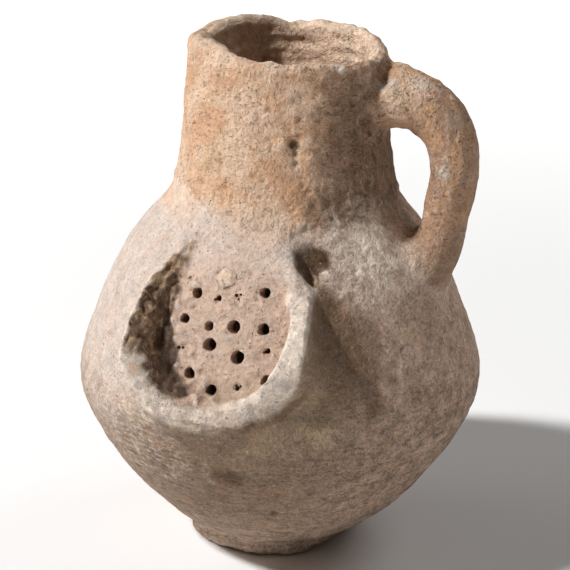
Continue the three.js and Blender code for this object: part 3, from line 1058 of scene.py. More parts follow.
def worn_rise(points, inner, coat, broken):
    """How far age and the potter's hands raised each point, from broad dents down to grit."""
    heights = points[:, 2]
    radius = np.hypot(points[:, 0], points[:, 1])
    rise = 0.6 * rough(points, 38, 3) + 0.38 * rough(points, 17, 5) + 0.26 * rough(points, 8, 7)
    rise += 0.17 * rough(points, 3.2, 9) + 0.12 * rough(points, 1.8, 11)
    dragged = points / np.array((16, 16, 2.2))
    rise += 0.16 * rough(dragged, 1, 13) * ramp(-heights, -92, -60)
    rise += coat * (0.7 + 0.3 * rough(points, 4, 15) + 0.16 * rough(points, 1.9, 17))
    strokes = points / np.array((3.2, 3.2, 15))
    right = ramp(way_round(points), 25, 50) * ramp(heights, 124, 134) * (1 - inner)
    rise += 0.5 * right * rough(strokes, 1, 19)
    ledges = points / np.array((11, 11, 2.4))
    rise += inner * (0.7 * rough(ledges, 1, 25) + 0.5 * rough(points, 6, 27))
    grooves = (points @ BREAK_GRAIN) / np.array((1.9, 9, 3.5))
    torn = 1.7 * rough(grooves, 1, 29) + 1.5 * rough(points, 5, 30) + 0.9 * rough(points, 2.2, 31)
    rise += broken * torn
    foot = ramp(-heights, -FOOT_HEIGHT - 4, -FOOT_HEIGHT + 1) * ramp(radius, 20, 26)
    lost = read_round(FOOT_LOSS, way_round(points))
    rise += foot * (1.2 * rough(points, 7, 33) + 0.7 * rough(points, 3, 35) - 0.4 - lost)
    return rise


def mark(mesh):
    """Press in the hollows and the strainer's holes, raise the flakes, and return the points."""
    points = points_of(mesh)
    normals = normals_of(mesh)
    for *centre, size, depth in MARKS:
        push(points, normals, centre, size, depth)
    wobble = 1.3 * rough(points, 2.4, 61) + 0.5 * rough(points, 1.2, 62)
    for *centre, radius, depth in FLAKES:
        away = np.linalg.norm(points - np.array(centre), axis=1) + wobble
        points += normals * (depth * ramp(-away, -radius, 0.6 - radius))[:, None]
    for number, (across, up, width) in enumerate(STRAINER_HOLES):
        share, depth = (0.5, 0.8) if number in CLOGS else (0.62, 0.35)
        push(points, normals, hole_mouth(across, up), width * share, depth)
    put_points(mesh, points)
    return points


def wear(mesh):
    """Wear the surface: roughen it, mark it, and strew pits and crumbs over it."""
    points = points_of(mesh)
    normals = normals_of(mesh)
    heights = points[:, 2]
    inner = inner_zone(points, normals)
    coat = coat_zone(points) * (1 - inner) * ramp(handle_gap(points), -1, 4)
    broken = broken_zone(points)
    rise = worn_rise(points, inner, coat, broken)
    put_points(mesh, points + normals * rise[:, None])
    points = mark(mesh)
    strainer = strainer_zone(points) * (1 - broken)
    crumbs = strainer * ramp(-points[:, 0] - 0.5 * (points[:, 2] - STRAINER_HEIGHT), 4, 12)
    zones = {"crumbs": crumbs, "strainer": strainer, "outside": ramp(heights, 8, 12), "coat": coat}
    for name, *numbers in STREWN:
        scattered(mesh, zones[name], *numbers)
    low = np.array(CAD_BOX[0]) / MM + (KEPT_IN, KEPT_IN, 0)
    high = np.array(CAD_BOX[1]) / MM - KEPT_IN
    put_points(mesh, np.clip(points_of(mesh), low, high))


def clay_form(sizes):
    """The whole outside of the jug, softened and worn, with the neck's bore."""
    skin = in_mm(sizes.skin)
    form = raw_form(skin, in_mm(sizes.break_depth))
    soften(form.data)
    reshape(form.data, in_mm(sizes.fullness))
    wear(form.data)
    return form


def mark_zones(mesh):
    """Write on the form which kind of surface each point belongs to."""
    points = points_of(mesh)
    normals = normals_of(mesh)
    inner = inner_zone(points, normals)
    broken = broken_zone(points)
    values = {
        "hollow": hollow_zone(mesh, 3),
        "broad": hollow_zone(mesh, 24),
        "flank": flank_zone(points),
        "broken": broken,
        "coat": coat_zone(points) * (1 - inner),
        "strainer": strainer_zone(points) * (1 - broken),
        "lip": lip_zone(points) * (1 - broken),
        "inner": inner,
        "strap": ramp(-handle_gap(points), -3.5, 1) * ramp(wall_gap(points), 0, 3),
    }
    for name in ZONES:
        layer = mesh.attributes.new(name, "FLOAT", "POINT")
        layer.data.foreach_set("value", values[name])


def cavity():
    """The body's inside, joined to the neck's bore."""
    line = moved_in(wall_line(), BODY_WALL)
    inside = [point for point in line if FLOOR_HEIGHT < point[1] < SHOULDER_HEIGHT]
    neck = NECK_BORE - BORE_STEP
    top = BORE_FLOOR + BORE_LAP
    floor = [(0, FLOOR_HEIGHT), (inside[0][0] - FLOOR_CORNER, FLOOR_HEIGHT)]
    return turned("cavity", [*floor, *inside, (neck, CAVITY_NECK), (neck, top), (0, top)], 90)


def reed_hole(across, up, width, number):
    """An uneven hole punched with a reed, square to the leaning wall."""
    mouth = Vector(hole_mouth(across, up))
    inward = Vector((0, math.cos(HOLE_SLOPE), -math.sin(HOLE_SLOPE)))
    side = Vector((1, 0, 0))
    upward = side.cross(inward)
    places = []
    for depth, grown in REED_TAPER:
        place = Matrix((side, upward, inward)).transposed().to_4x4()
        place.translation = mouth + inward * depth
        aside, above = (noise.noise(Vector((number * 3.7, depth * 0.13, layer))) for layer in (0.4, 9.4))
        place.translation += Vector((aside, 0, above)) * 0.12 * width
        places.append(place @ Matrix.Scale(width / 2 * grown, 4))

    def ring(point):
        bulge = noise.noise(Vector((point.x, point.y, number * 5.3)))
        return Vector((*(point * (1 + 0.16 * bulge)), 0))
    return lofted("hole", places, 20, [ring] * len(places))


def carve(form):
    """Cut the body's cavity and the strainer's holes into the form."""
    space = cavity()
    for number, (across, up, width) in enumerate(STRAINER_HOLES):
        openings = CLOGS.get(number, ((0, 0, width),))
        for part, (aside, above, wide) in enumerate(openings):
            hole = reed_hole(across + aside, up + above, wide, number + part * 20)
            combined(space, hole, "UNION")
            discard(hole)
    combined(form, space, "DIFFERENCE")
    discard(space)


def drop_crumbs(solid):
    """Remove the loose crumbs that a cut leaves beside a piece."""
    shape = bmesh.new()
    shape.from_mesh(solid.data)
    left = set(shape.verts)
    crumbs = []
    while left:
        island = [left.pop()]
        for vert in island:
            near = {edge.other_vert(vert) for edge in vert.link_edges} & left
            left -= near
            island.extend(near)
        if len(island) < CRUMB_POINTS:
            crumbs.extend(island)
    bmesh.ops.delete(shape, geom=crumbs, context="VERTS")
    shape.to_mesh(solid.data)
    shape.free()


def take_out(rest, name, cutter):
    """Cut one piece out of the rest of the form: the piece is what lies inside the cutter."""
    piece = duplicate(rest, name)
    combined(piece, cutter, "INTERSECT")
    combined(rest, cutter, "DIFFERENCE")
    discard(cutter)
    drop_crumbs(piece)
    if not piece.data.polygons:
        raise RuntimeError(f"the form has nothing left for {name}")
    return piece


def outside_wall(cutter, growth):
    """Leave the vessel's own wall, grown by a distance, out of a cutter."""
    wall = filled("wall", growth)
    combined(cutter, wall, "DIFFERENCE")
    discard(wall)
    return cutter


def smear(name, height, reach):
    """The space round one end of the handle, with how far it reaches out and up."""
    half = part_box("handle_strap")[1][1] / MM + SMEAR_MARGIN
    middle = Matrix.Translation((wall_radius(height), 0, height))
    space = oval(name, middle @ Matrix.Diagonal((reach[0], half, reach[1], 1)), 32, 20)
    return outside_wall(space, WALL_SKIN)


def thinned(piece):
    """A piece's mesh, with no more triangles than PIECE_TRIANGLES."""
    triangles = len(piece.data.loops) - 2 * len(piece.data.polygons)
    if triangles > PIECE_TRIANGLES:
        step = piece.modifiers.new("fewer", "DECIMATE")
        step.ratio = PIECE_TRIANGLES / triangles
        settle(piece)
    return piece.data


def copy_zones(mesh, whole, nearest):
    """Give each point of a piece the zones of the form's nearest point."""
    for name in ZONES:
        values = np.empty(len(whole.vertices), np.float32)
        whole.attributes[name].data.foreach_get("value", values)
        layer = mesh.attributes.get(name) or mesh.attributes.new(name, "FLOAT", "POINT")
        layer.data.foreach_set("value", values[nearest])


def copy_normals(mesh, whole, nearest):
    """Shade a piece by the form's normals, and its cut faces by their own."""
    points = points_of(mesh)
    owners = np.empty(len(mesh.loops), np.int32)
    mesh.loops.foreach_get("vertex_index", owners)
    flat = np.empty(len(mesh.polygons) * 3)
    mesh.polygons.foreach_get("normal", flat)
    sizes = np.empty(len(mesh.polygons), np.int32)
    mesh.polygons.foreach_get("loop_total", sizes)
    faces = np.repeat(flat.reshape(-1, 3), sizes, axis=0)
    whole_points = points_of(whole)
    wanted = normals_of(whole)[nearest]
    close = np.linalg.norm(points - whole_points[nearest], axis=1) < CUT_FACE_DEPTH
    smooth = wanted[owners]
    agree = close[owners] & ((smooth * faces).sum(axis=1) > 0.3)
    mesh.shade_smooth()
    mesh.normals_split_custom_set(np.where(agree[:, None], smooth, faces))


def finish_piece(piece, whole, tree, node):
    """Give a piece the form's normals and zones, turn it into metres and hand it to the frame."""
    mesh = thinned(piece)
    nearest = np.array([tree.find(point)[1] for point in points_of(mesh).tolist()])
    copy_zones(mesh, whole, nearest)
    copy_normals(mesh, whole, nearest)
    mesh.transform(Matrix.Scale(MM, 4))
    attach(piece, "root")
    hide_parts(node)


class Socket:
    """A node's output that can be added and multiplied, so that shader maths reads as Python."""

    def __init__(self, tree, output):
        self.tree = tree
        self.output = output

    def use(self, kind, sockets, output=0, **settings):
        """Add a node with its settings and sockets, and return one of its outputs."""
        node = self.tree.nodes.new(kind)
        for name, value in settings.items():
            setattr(node, name, value)
        for slot, value in sockets.items():
            if isinstance(value, Socket):
                self.tree.links.new(value.output, node.inputs[slot])
            else:
                node.inputs[slot].default_value = value
        return Socket(self.tree, node.outputs[output])

    def math(self, operation, first, second):
        """A sum, a product or another Math node of two values."""
        return self.use("ShaderNodeMath", {0: first, 1: second}, operation=operation)

    def __add__(self, other):
        return self.math("ADD", self, other)

    def __radd__(self, other):
        return self.math("ADD", other, self)

    def __sub__(self, other):
        return self.math("SUBTRACT", self, other)

    def __rsub__(self, other):
        return self.math("SUBTRACT", other, self)

    def __mul__(self, other):
        return self.math("MULTIPLY", self, other)

    def __rmul__(self, other):
        return self.math("MULTIPLY", other, self)

    def vector(self, operation, other, output=0):
        """A vector sum, product, difference, dot product or distance."""
        return self.use("ShaderNodeVectorMath", {0: self, 1: other}, output, operation=operation)

    def scaled(self, factor):
        """A vector or a colour made larger or smaller."""
        return self.use("ShaderNodeVectorMath", {0: self, "Scale": factor}, operation="SCALE")

    def ramp(self, low, high, start=0.0, end=1.0):
        """A smooth change from one value to another as this one goes from low to high."""
        sockets = {"Value": self, "From Min": low, "From Max": high, "To Min": start, "To Max": end}
        return self.use("ShaderNodeMapRange", sockets, interpolation_type="SMOOTHSTEP")

    def noise(self, size, detail=3.0, roughness=0.5):
        """Noise with features of about a size in millimetres, where this one is a place in them."""
        sockets = {"Vector": self, "Scale": 1 / size, "Detail": detail, "Roughness": roughness}
        return self.use("ShaderNodeTexNoise", sockets)

    def long_noise(self, sizes, detail, roughness):
        """Noise whose features have a size of their own each way."""
        shares = tuple(1 / size for size in sizes)
        return self.vector("MULTIPLY", shares).noise(1, detail, roughness)

    def warped(self, size, detail, reach):
        """This place pushed about by noise."""
        warp = self.use("ShaderNodeTexNoise", {"Vector": self, "Scale": 1 / size, "Detail": detail}, 1)
        return warp.vector("SUBTRACT", (0.5, 0.5, 0.5)).scaled(reach).vector("ADD", self)

    def blend(self, first, second):
        """A colour between two, by this share."""
        return self.use("ShaderNodeMix", {0: self, 6: first, 7: second}, 2, data_type="RGBA")

    def spot(self, centre, radius, soft=0.4):
        """1 within a round spot of this place, falling to 0 past its edge."""
        away = self.vector("DISTANCE", centre, 1)
        return away.ramp(radius * (1 + soft), radius * (1 - soft))


def crack_line(place, start, end, width):
    """1 along a thin line between two points, where the place is warped a little beforehand."""
    begin = Vector(start)
    way = Vector(end) - begin
    offset = place.vector("SUBTRACT", begin)
    share = offset.vector("DOT_PRODUCT", way / way.length_squared, 1)
    held = share.use("ShaderNodeClamp", {0: share})
    foot = held.use("ShaderNodeVectorMath", {0: tuple(way), "Scale": held}, operation="SCALE")
    away = offset.vector("DISTANCE", foot, 1)
    return away.ramp(width, width * 0.35)


def clay_masks(tree):
    """Where a point of the clay lies, with the noises and masks that its layers share."""
    start = Socket(tree, tree.nodes.new("ShaderNodeTexCoord").outputs["Object"])
    place = start.scaled(1 / MM)
    at = SimpleNamespace(place=place)
    at.zone = {
        key: start.use("ShaderNodeAttribute", {}, "Fac", attribute_name=key, attribute_type="GEOMETRY")
        for key in ZONES
    }
    coat, strap = at.zone["coat"], at.zone["strap"]
    at.across = start.use("ShaderNodeSeparateXYZ", {0: place}, 0)
    at.height = start.use("ShaderNodeSeparateXYZ", {0: place}, 2)
    at.broad = place.noise(30, 4, 0.6)
    at.patch = place.noise(12, 5, 0.6)
    at.mottle = place.noise(4.5, 4, 0.6)
    at.grain = place.noise(1.3, 4, 0.65)
    at.grit = place.noise(0.55, 2, 0.5)
    at.speck = place.noise(0.9, 1, 0.4)
    at.strokes = place.long_noise((1.8, 1.8, 8), 3, 0.6)
    at.streaks = place.long_noise((14, 14, 1.1), 4, 0.65)
    at.scales = place.long_noise((3.4, 3.4, 1.3), 4, 0.7)
    at.bent = place.warped(2.2, 2.0, 2.6)
    at.drifted = place.warped(9, 3.0, 22)
    at.side = (place.vector("DOT_PRODUCT", (0.94, 0.30, 0.12), 1) + (at.broad - 0.5) * 50).ramp(0, 55)
    at.low = (at.height + (at.broad - 0.5) * 46).ramp(82, 46)
    at.scaly = at.drifted.spot((-27, -60, 52), 18, 0.6)
    at.flakes = at.scaly * at.scales.ramp(0.48, 0.62)
    at.pits = place.noise(1.5, 2, 0.5).ramp(0.36, 0.30) * (coat * 0.5 + strap * 0.5 + 0.35)
    seam = place.noise(7, 4, 0.62) - 0.5
    seam = seam.math("ABSOLUTE", seam, 0).ramp(0.013, 0.004)
    at.seam = seam * place.vector("ADD", (9, 4, 60)).noise(9, 2).ramp(0.54, 0.64) * (coat * 0.55 + 0.3)
    lines = [crack_line(at.bent, *ends, CRACK_WIDTH) for crack in CRACKS for ends in zip(crack, crack[1:])]
    at.cracks = lines[0]
    for line in lines[1:]:
        at.cracks = line.math("MAXIMUM", at.cracks, line)
    return at


def tones_with_painted_shade(at, colour):
    """The clay's colours: pale slip on the shoulder, tan neck, orange handle darker towards its foot,
    grey-brown foot, with painted shade on the neck's right side and on the left of the neck's inside.
    """
    skin = (at.side * 0.85).blend(colour["cream"], colour["pinkish"])
    skin = (at.low * 0.9).blend(skin, colour["taupe"])
    skin = (at.patch.ramp(0.5, 0.68) * 0.45).blend(skin, colour["pinkish"])
    yellowed = at.place.vector("ADD", (40, 0, 7)).noise(15, 4).ramp(0.56, 0.72)
    skin = (yellowed * 0.4).blend(skin, colour["ochre"])
    neck_tone = (at.patch + (at.broad - 0.5) * 0.5).ramp(0.42, 0.62).blend(colour["tan"], colour["orange"])
    tinted = (at.height + (at.broad - 0.5) * 30 + (at.patch - 0.5) * 18).ramp(119, 132)
    skin = (tinted * 0.62 + at.zone["coat"] * 0.33).blend(skin, neck_tone)
    # Painted shade on the neck's right side, away from the key light, with some brown dirt
    shaded = at.place.vector("DOT_PRODUCT", (0.966, -0.259, 0), 1) + (at.patch - 0.5) * 14
    shaded = shaded.ramp(24.5, 32) * at.height.ramp(116, 130) * at.height.ramp(182, 166)
    skin = (shaded * (0.5 + at.strokes * 0.5)).blend(skin, colour["umber"])
    handle_tone = at.patch.ramp(0.45, 0.7).blend(colour["orange"], colour["pinkish"])
    handle_tone = at.height.ramp(136, 112, 0.0, 0.7).blend(handle_tone, colour["umber"])
    skin = (at.zone["strap"] * 0.9).blend(skin, handle_tone)
    floor_tone = at.mottle.ramp(0.4, 0.62).blend(colour["beige"], colour["pinkish"])
    skin = (at.zone["strainer"] * 0.8).blend(skin, floor_tone)
    pale = at.mottle.ramp(0.3, 0.6).blend(colour["cream"], colour["ivory"])
    skin = (at.zone["lip"] * 0.9).blend(skin, pale)
    skin = (at.zone["inner"] * 0.85).blend(skin, colour["sand"])
    # Painted shade on the left of the neck's inside
    aside = at.across + (at.patch - 0.5) * 16
    skin = (at.zone["inner"] * aside.ramp(2, -16) * 0.7).blend(skin, colour["umber"])
    rosy = at.place.vector("ADD", (3, 50, 21)).noise(8, 4, 0.6).ramp(0.5, 0.64) * (1 - at.zone["inner"])
    return (rosy * (at.side * 0.3 + 0.25)).blend(skin, colour["rosy"])


def broken_and_shaded_tone(at, colour):
    """The dark, grained core of the clay where the spout's wall is broken, also laid as painted shade on
    the wall's shaded inside, with lighter chunks as painted light on lit fragments.
    """
    grain_way = at.place.long_noise((1.4, 4, 1.6), 3, 0.6)
    # Dark core, partly painted shade on the shaded inside of the left wall
    core = (at.mottle * 0.5 + grain_way * 0.5).ramp(0.4, 0.56).blend(colour["dark"], colour["umber"])
    # Painted light on the lit fragments of the break, in the break's tan-brown
    painted_lit_chunks = (at.place.noise(3.4, 3, 0.6) * 0.7 + grain_way * 0.3).ramp(0.50, 0.60)
    return (painted_lit_chunks * 0.8).blend(core, colour["ochre"])


def stained_and_shaded(at, skin, colour):
    """The skin with dirt and painted shade on the spout's outside, stains, crusts, painted shadow, shade
    and light at their places, painted shadow along the spout's right side and under its lip, and the break
    with painted shade on its inside.
    """
    # Olive on the spout's outside: partly dirt, partly painted shade
    flank = at.zone["flank"] * at.patch.ramp(0.3, 0.6, 0.45, 0.8)
    skin = flank.blend(skin, colour["olive"])
    for centre, radius, key, strength in SPOTS:
        if radius < LARGE_SPOT:
            mask = at.bent.spot(centre, radius) * strength
        else:
            mask = at.drifted.spot(centre, radius, 0.75) * (at.mottle.ramp(0.3, 0.65, 0.65, 1.0) * strength)
            mask = mask * (1 - at.zone["lip"] * 0.85)
        skin = mask.blend(skin, colour[key])
    # Painted shadow along the spout's right side and painted shade under its lip
    for begin, end, width, strength in SHADED_LINES:
        skin = (crack_line(at.bent, begin, end, width) * strength).blend(skin, colour["umber"])
    # The break's tone, with painted shade on the left wall's shaded inside
    return (at.zone["broken"] * 0.95).blend(skin, broken_and_shaded_tone(at, colour))


def weathered_and_shaded(at, skin, colour):
    """The skin with painted shade in its hollows and broad dips, worn ridges, specks, scales, streaks, pits
    and fine seams.
    """
    bare = 1 - at.zone["broken"] * 0.9
    layers = (
        # Painted shade in the hollows and broad dips, where occlusion would darken them
        (at.zone["hollow"].ramp(0.03, 0.16) * 0.35, "umber"),
        (at.zone["broad"].ramp(0.25, 1.6) * 0.35, "umber"),
        (at.zone["hollow"].ramp(-0.03, -0.16) * (bare * 0.25), "chalk"),
        (at.height.ramp(11, 4) * 0.8, "beige"),
        (at.speck.ramp(0.66, 0.73) * 0.55, "umber"),
        (at.speck.ramp(0.30, 0.25) * (bare * 0.3), "chalk"),
        (at.scaly * at.scales.ramp(0.5, 0.36) * 0.5, "umber"),
        (at.flakes * 0.5, "chalk"),
        (at.streaks.ramp(0.5, 0.62) * at.low * 0.45, "umber"),
        (at.pits * 0.6, "umber"),
        (at.seam * 0.5, "dark"),
    )
    for mask, key in layers:
        skin = mask.blend(skin, colour[key])
    return skin


def grained(at, skin):
    """The skin in lighter and darker grains, which stand out less on the coat and the strap."""
    smooth = at.zone["coat"] * 0.25 + at.zone["strap"] * 0.3
    rugged = 0.5 + at.side * 0.45 + at.low * 0.5 - smooth
    tone = at.mottle.ramp(0.32, 0.68) * 0.42 + at.grain.ramp(0.34, 0.66) * 0.40
    tone = tone + at.grit.ramp(0.35, 0.65) * 0.24
    return skin.scaled((tone - 0.53) * rugged + 1.0)


def relief(at):
    """How far grains, lumps, streaks and strokes stand out of the clay, in millimetres."""
    coat = at.zone["coat"]
    sandy = coat.ramp(0, 1, 0.6, 1.5) + at.side * 0.45
    lumpy = 0.5 + at.side * 1.0 + at.low * 0.4 + coat * 1.1 + at.zone["strap"] * 0.5
    raised = (at.grain - 0.5) * sandy + (at.grit - 0.5) * 0.3
    raised = raised + (at.place.noise(2.8, 3, 0.6) - 0.5) * lumpy
    raised = raised + (at.streaks - 0.5) * 0.9 * at.low + (at.strokes - 0.5) * 0.4 * coat + at.flakes * 0.2
    return raised - at.speck.ramp(0.70, 0.78) * 0.2 - at.cracks * 0.6 - at.pits * 0.3 - at.seam * 0.35


def fired_clay(name, colours):
    """Unglazed fired clay. Each slot has the same make, because the surface runs across the joints."""
    material = bpy.data.materials.new(name)
    material.use_nodes = True
    tree = material.node_tree
    shader = tree.nodes["Principled BSDF"]
    colour = {key: (*getattr(colours, key), 1) for key in CLAY_COLOURS}
    at = clay_masks(tree)
    skin = stained_and_shaded(at, tones_with_painted_shade(at, colour), colour)
    skin = grained(at, weathered_and_shaded(at, skin, colour))
    skin = (at.cracks * 0.65).blend(skin, colour["dark"])
    bump = skin.use("ShaderNodeBump", {"Strength": 1.0, "Distance": MM, "Height": relief(at)})
    tree.links.new(skin.output, shader.inputs["Base Color"])
    tree.links.new(bump.output, shader.inputs["Normal"])
    shader.inputs["Roughness"].default_value = CLAY_ROUGHNESS
    shader.inputs["Specular IOR Level"].default_value = CLAY_SHINE
    return material


class JugColours(bpy.types.PropertyGroup):
    """Colours of the fired clay"""

    __annotations__ = {
        key: FloatVectorProperty(
            name=key.capitalize(),
            description=words,
            default=value,
            subtype="COLOR",
            min=0,
            max=1,
        )
        for key, (value, words) in CLAY_COLOURS.items()
    }


class JugForm(bpy.types.PropertyGroup):
    """Sizes of the clay form that age and the potter's hands gave it"""

    skin: FloatProperty(
        name="Skin",
        description="Spacing of the points on the form's skin",
        default=0.8 * MM,
        min=0.5 * MM,
        unit="LENGTH",
    )
    break_depth: FloatProperty(
        name="Break",
        description="How deep the spout's left wall is broken away",
        default=8 * MM,
        unit="LENGTH",
    )
    fullness: FloatProperty(
        name="Fullness",
        description="How far the belly swells past its plain form",
        default=0.7 * MM,
        unit="LENGTH",
    )


class JugStudio(bpy.types.PropertyGroup):
    """Light and camera of the photograph"""

    azimuth: FloatProperty(
        name="Azimuth",
        description="How far the camera stands round from the spout towards the handle",
        default=math.radians(18),
        subtype="ANGLE",
    )
    elevation: FloatProperty(
        name="Elevation",
        description="How high the camera stands",
        default=math.radians(20.9),
        subtype="ANGLE",
    )
    distance: FloatProperty(
        name="Distance",
        description="From the camera to the middle of the jug",
        default=0.75,
        unit="LENGTH",
    )
    key_power: FloatProperty(
        name="Key light",
        description="Power of the soft light from the upper left",
        default=52,
        unit="POWER",
    )
    fill: FloatProperty(
        name="Fill",
        description="Strength of the white surroundings",
        default=0.055,
        subtype="FACTOR",
    )
    floor_glow: FloatProperty(
        name="Floor glow",
        description="How brightly the floor shines away from the jug",
        default=0.45,
        subtype="FACTOR",
    )


def the_object(name):
    """An object by name, or an error that says which step comes first."""
    found = bpy.data.objects.get(name)
    if found is None:
        raise RuntimeError(f"{name} isn't there: the jug's form comes first")
    return found


def hand_over(*pieces):
    """Finish some pieces, each in place of its own node."""
    whole = the_object("whole_form").data
    points = points_of(whole)
    tree = KDTree(len(points))
    for index, point in enumerate(points.tolist()):
        tree.insert(point, index)
    tree.balance()
    for piece in pieces:
        node = PIECES[piece.name]
        finish_piece(piece, whole, tree, node)


class JUG_OT_form(bpy.types.Operator):
    """Model the jug's whole clay form"""

    bl_idname = "jug.form"
    bl_label = "Clay form"

    def execute(self, context):
        form = clay_form(context.scene.jug_form)
        form.name = "whole_form"
        mark_zones(form.data)
        rest = duplicate(form, "rest_of_form")
        carve(rest)
        return {"FINISHED"}


class JUG_OT_handle(bpy.types.Operator):
    """Cut out the handle's strap and the clay that lutes its two ends"""

    bl_idname = "jug.handle"
    bl_label = "Handle"

    def execute(self, context):
        rest = the_object("rest_of_form")
        top = take_out(rest, "handle_top_clay", smear("top", HANDLE_TOP, TOP_SMEAR))
        foot = take_out(rest, "handle_foot_clay", smear("foot", HANDLE_FOOT, FOOT_SMEAR))
        tube = outside_wall(lofted("tube", handle_places(STRAP_SPACE)), WALL_SKIN + CUT_STEP)
        strap = take_out(rest, "strap_clay", tube)
        hand_over(top, foot, strap)
        return {"FINISHED"}


class JUG_OT_spout(bpy.types.Operator):
    """Cut out the trough spout and the roll of clay round its base"""

    bl_idname = "jug.spout"
    bl_label = "Spout"

    def execute(self, context):
        rest = the_object("rest_of_form")
        near = spout_form("near", SPOUT_TROUGH, SPOUT_FAR, -40, 60)
        trough = take_out(rest, "trough_clay", outside_wall(near, WALL_SKIN))
        around = box("around", *ROLL_BLOCK)
        roll = take_out(rest, "roll_clay", outside_wall(around, WALL_SKIN + CUT_STEP))
        hand_over(trough, roll)
        return {"FINISHED"}


class JUG_OT_neck(bpy.types.Operator):
    """Cut out the neck and the band of clay that lutes it on the shoulder"""

    bl_idname = "jug.neck"
    bl_label = "Neck"

    def execute(self, context):
        rest = the_object("rest_of_form")
        low, high = (float(wall_radius(edge)) - COIL_DEPTH for edge in (COIL_LOW, COIL_HIGH))
        inner = [(high, COIL_HIGH), (low, COIL_LOW)]
        ring = [(low, COIL_LOW), (BEYOND, COIL_LOW), (BEYOND, COIL_HIGH), *inner]
        coil = take_out(rest, "coil_clay", turned("ring", ring))
        neck = take_out(rest, "neck_clay", slab("above", SHOULDER_HEIGHT, HEIGHT + 20))
        hand_over(coil, neck)
        return {"FINISHED"}


class JUG_OT_vessel(bpy.types.Operator):
    """Cut the foot from the pierced body and tidy the form away"""

    bl_idname = "jug.vessel"
    bl_label = "Body and foot"

    def execute(self, context):
        body = the_object("rest_of_form")
        foot = take_out(body, "foot_clay", slab("below", -20, FOOT_HEIGHT))
        body.name = "body_clay"
        hand_over(foot, body)
        discard(the_object("whole_form"))
        return {"FINISHED"}


class JUG_OT_clay(bpy.types.Operator):
    """Give every piece its fired clay"""

    bl_idname = "jug.clay"
    bl_label = "Fired clay"

    def execute(self, context):
        colours = context.scene.jug_colours
        slots = {slot["slot"]: fired_clay(slot["slot"], colours) for slot in frame["record"]["materials"]}
        parts = {part["node"]: part["material_slot"] for part in frame["record"]["subparts"]}
        for name, node in PIECES.items():
            materials = the_object(name).data.materials
            materials.clear()
            materials.append(slots[parts[node]])
        return {"FINISHED"}


def seen_from(azimuth, elevation):
    """The direction from the jug to a place round it."""
    return Vector((
        math.sin(azimuth) * math.cos(elevation),
        -math.cos(azimuth) * math.cos(elevation),
        math.sin(elevation),
    ))


def soft_light(context, name, place, power, size):
    """A square lamp that faces the jug."""
    lamp = bpy.data.lights.new(name, "AREA")
    lamp.energy = power
    lamp.size = size
    holder = bpy.data.objects.new(name, lamp)
    holder.location = JUG_MIDDLE + place
    holder.rotation_euler = (-place).to_track_quat("-Z", "Y").to_euler()
    context.collection.objects.link(holder)


def white_floor(glow):
    """A white floor that glows a little away from the jug, as a lit backdrop does."""
    paint = bpy.data.materials.new("floor_white")
    paint.use_nodes = True
    tree = paint.node_tree
    shader = tree.nodes["Principled BSDF"]
    place = Socket(tree, tree.nodes.new("ShaderNodeTexCoord").outputs["Object"])
    away = place.use("ShaderNodeVectorMath", {0: place}, 1, operation="LENGTH")
    shine = away.ramp(*GLOW_RANGE).blend((0, 0, 0, 1), (glow, glow, glow, 1))
    tree.links.new(shine.output, shader.inputs["Emission Color"])
    shader.inputs["Emission Strength"].default_value = 1.0
    shader.inputs["Base Color"].default_value = FLOOR_WHITE
    shader.inputs["Roughness"].default_value = 1.0
    return paint


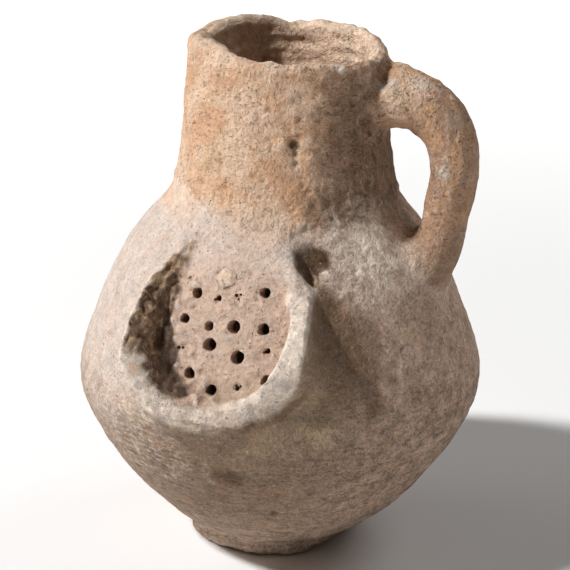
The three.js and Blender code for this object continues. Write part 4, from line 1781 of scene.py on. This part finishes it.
class JUG_OT_studio(bpy.types.Operator):
    """Add the white floor, the soft lights and the photograph's camera"""

    bl_idname = "jug.studio"
    bl_label = "Studio"

    def execute(self, context):
        studio = context.scene.jug_studio
        bpy.ops.mesh.primitive_plane_add(size=FLOOR_SIZE, location=(0, 0, 0))
        floor = context.object
        floor.name = "floor"
        floor.data.materials.append(white_floor(studio.floor_glow))
        world = bpy.data.worlds.new("studio")
        world.use_nodes = True
        surroundings = world.node_tree.nodes["Background"].inputs
        surroundings["Color"].default_value = WARM_WHITE
        surroundings["Strength"].default_value = studio.fill
        context.scene.world = world
        for name, azimuth, elevation, away, share, size in LAMPS:
            soft_light(context, name, seen_from(azimuth, elevation) * away, studio.key_power * share, size)
        back = seen_from(studio.azimuth, studio.elevation)
        lens = bpy.data.cameras.new("camera")
        lens.sensor_width = SENSOR_WIDTH
        lens.lens = FOCAL_PIXELS / PHOTO_PIXELS * SENSOR_WIDTH
        lens.shift_x, lens.shift_y = (shift / PHOTO_PIXELS for shift in SHIFT_PIXELS)
        camera = bpy.data.objects.new("camera", lens)
        turn = back.to_track_quat("Z", "Y").to_matrix().to_4x4()
        roll = Matrix.Rotation(CAMERA_ROLL, 4, "Z")
        camera.matrix_world = Matrix.Translation(JUG_MIDDLE + back * studio.distance) @ turn @ roll
        context.collection.objects.link(camera)
        context.scene.camera = camera
        context.scene.view_settings.view_transform = "Standard"
        return {"FINISHED"}


class JUG_PT_panel(bpy.types.Panel):
    """Steps that make the jug"""

    bl_idname = "JUG_PT_panel"
    bl_label = "Strainer-spout jug"
    bl_space_type = "VIEW_3D"
    bl_region_type = "UI"
    bl_category = "Jug"

    def draw(self, context):
        scene = context.scene
        for settings in (scene.jug_form, scene.jug_colours, scene.jug_studio):
            for key in settings.bl_rna.properties.keys():
                if key not in ("rna_type", "name"):
                    self.layout.prop(settings, key)
        for step in STEPS:
            self.layout.operator(step.bl_idname)


STEPS = (JUG_OT_studio, JUG_OT_form, JUG_OT_handle, JUG_OT_spout, JUG_OT_neck, JUG_OT_vessel, JUG_OT_clay)
CLASSES = (JugForm, JugColours, JugStudio, *STEPS, JUG_PT_panel)


def register():
    """Register the add-on's classes and its settings."""
    for cls in CLASSES:
        bpy.utils.register_class(cls)
    bpy.types.Scene.jug_form = PointerProperty(type=JugForm)
    bpy.types.Scene.jug_colours = PointerProperty(type=JugColours)
    bpy.types.Scene.jug_studio = PointerProperty(type=JugStudio)


def unregister():
    """Remove the add-on's settings and classes."""
    del bpy.types.Scene.jug_studio
    del bpy.types.Scene.jug_colours
    del bpy.types.Scene.jug_form
    for cls in reversed(CLASSES):
        bpy.utils.unregister_class(cls)


def main():
    """Run each step in order."""
    register()
    bpy.ops.jug.studio()
    bpy.ops.jug.form()
    bpy.ops.jug.handle()
    bpy.ops.jug.spout()
    bpy.ops.jug.neck()
    bpy.ops.jug.vessel()
    bpy.ops.jug.clay()


if __name__ == "__main__":
    main()
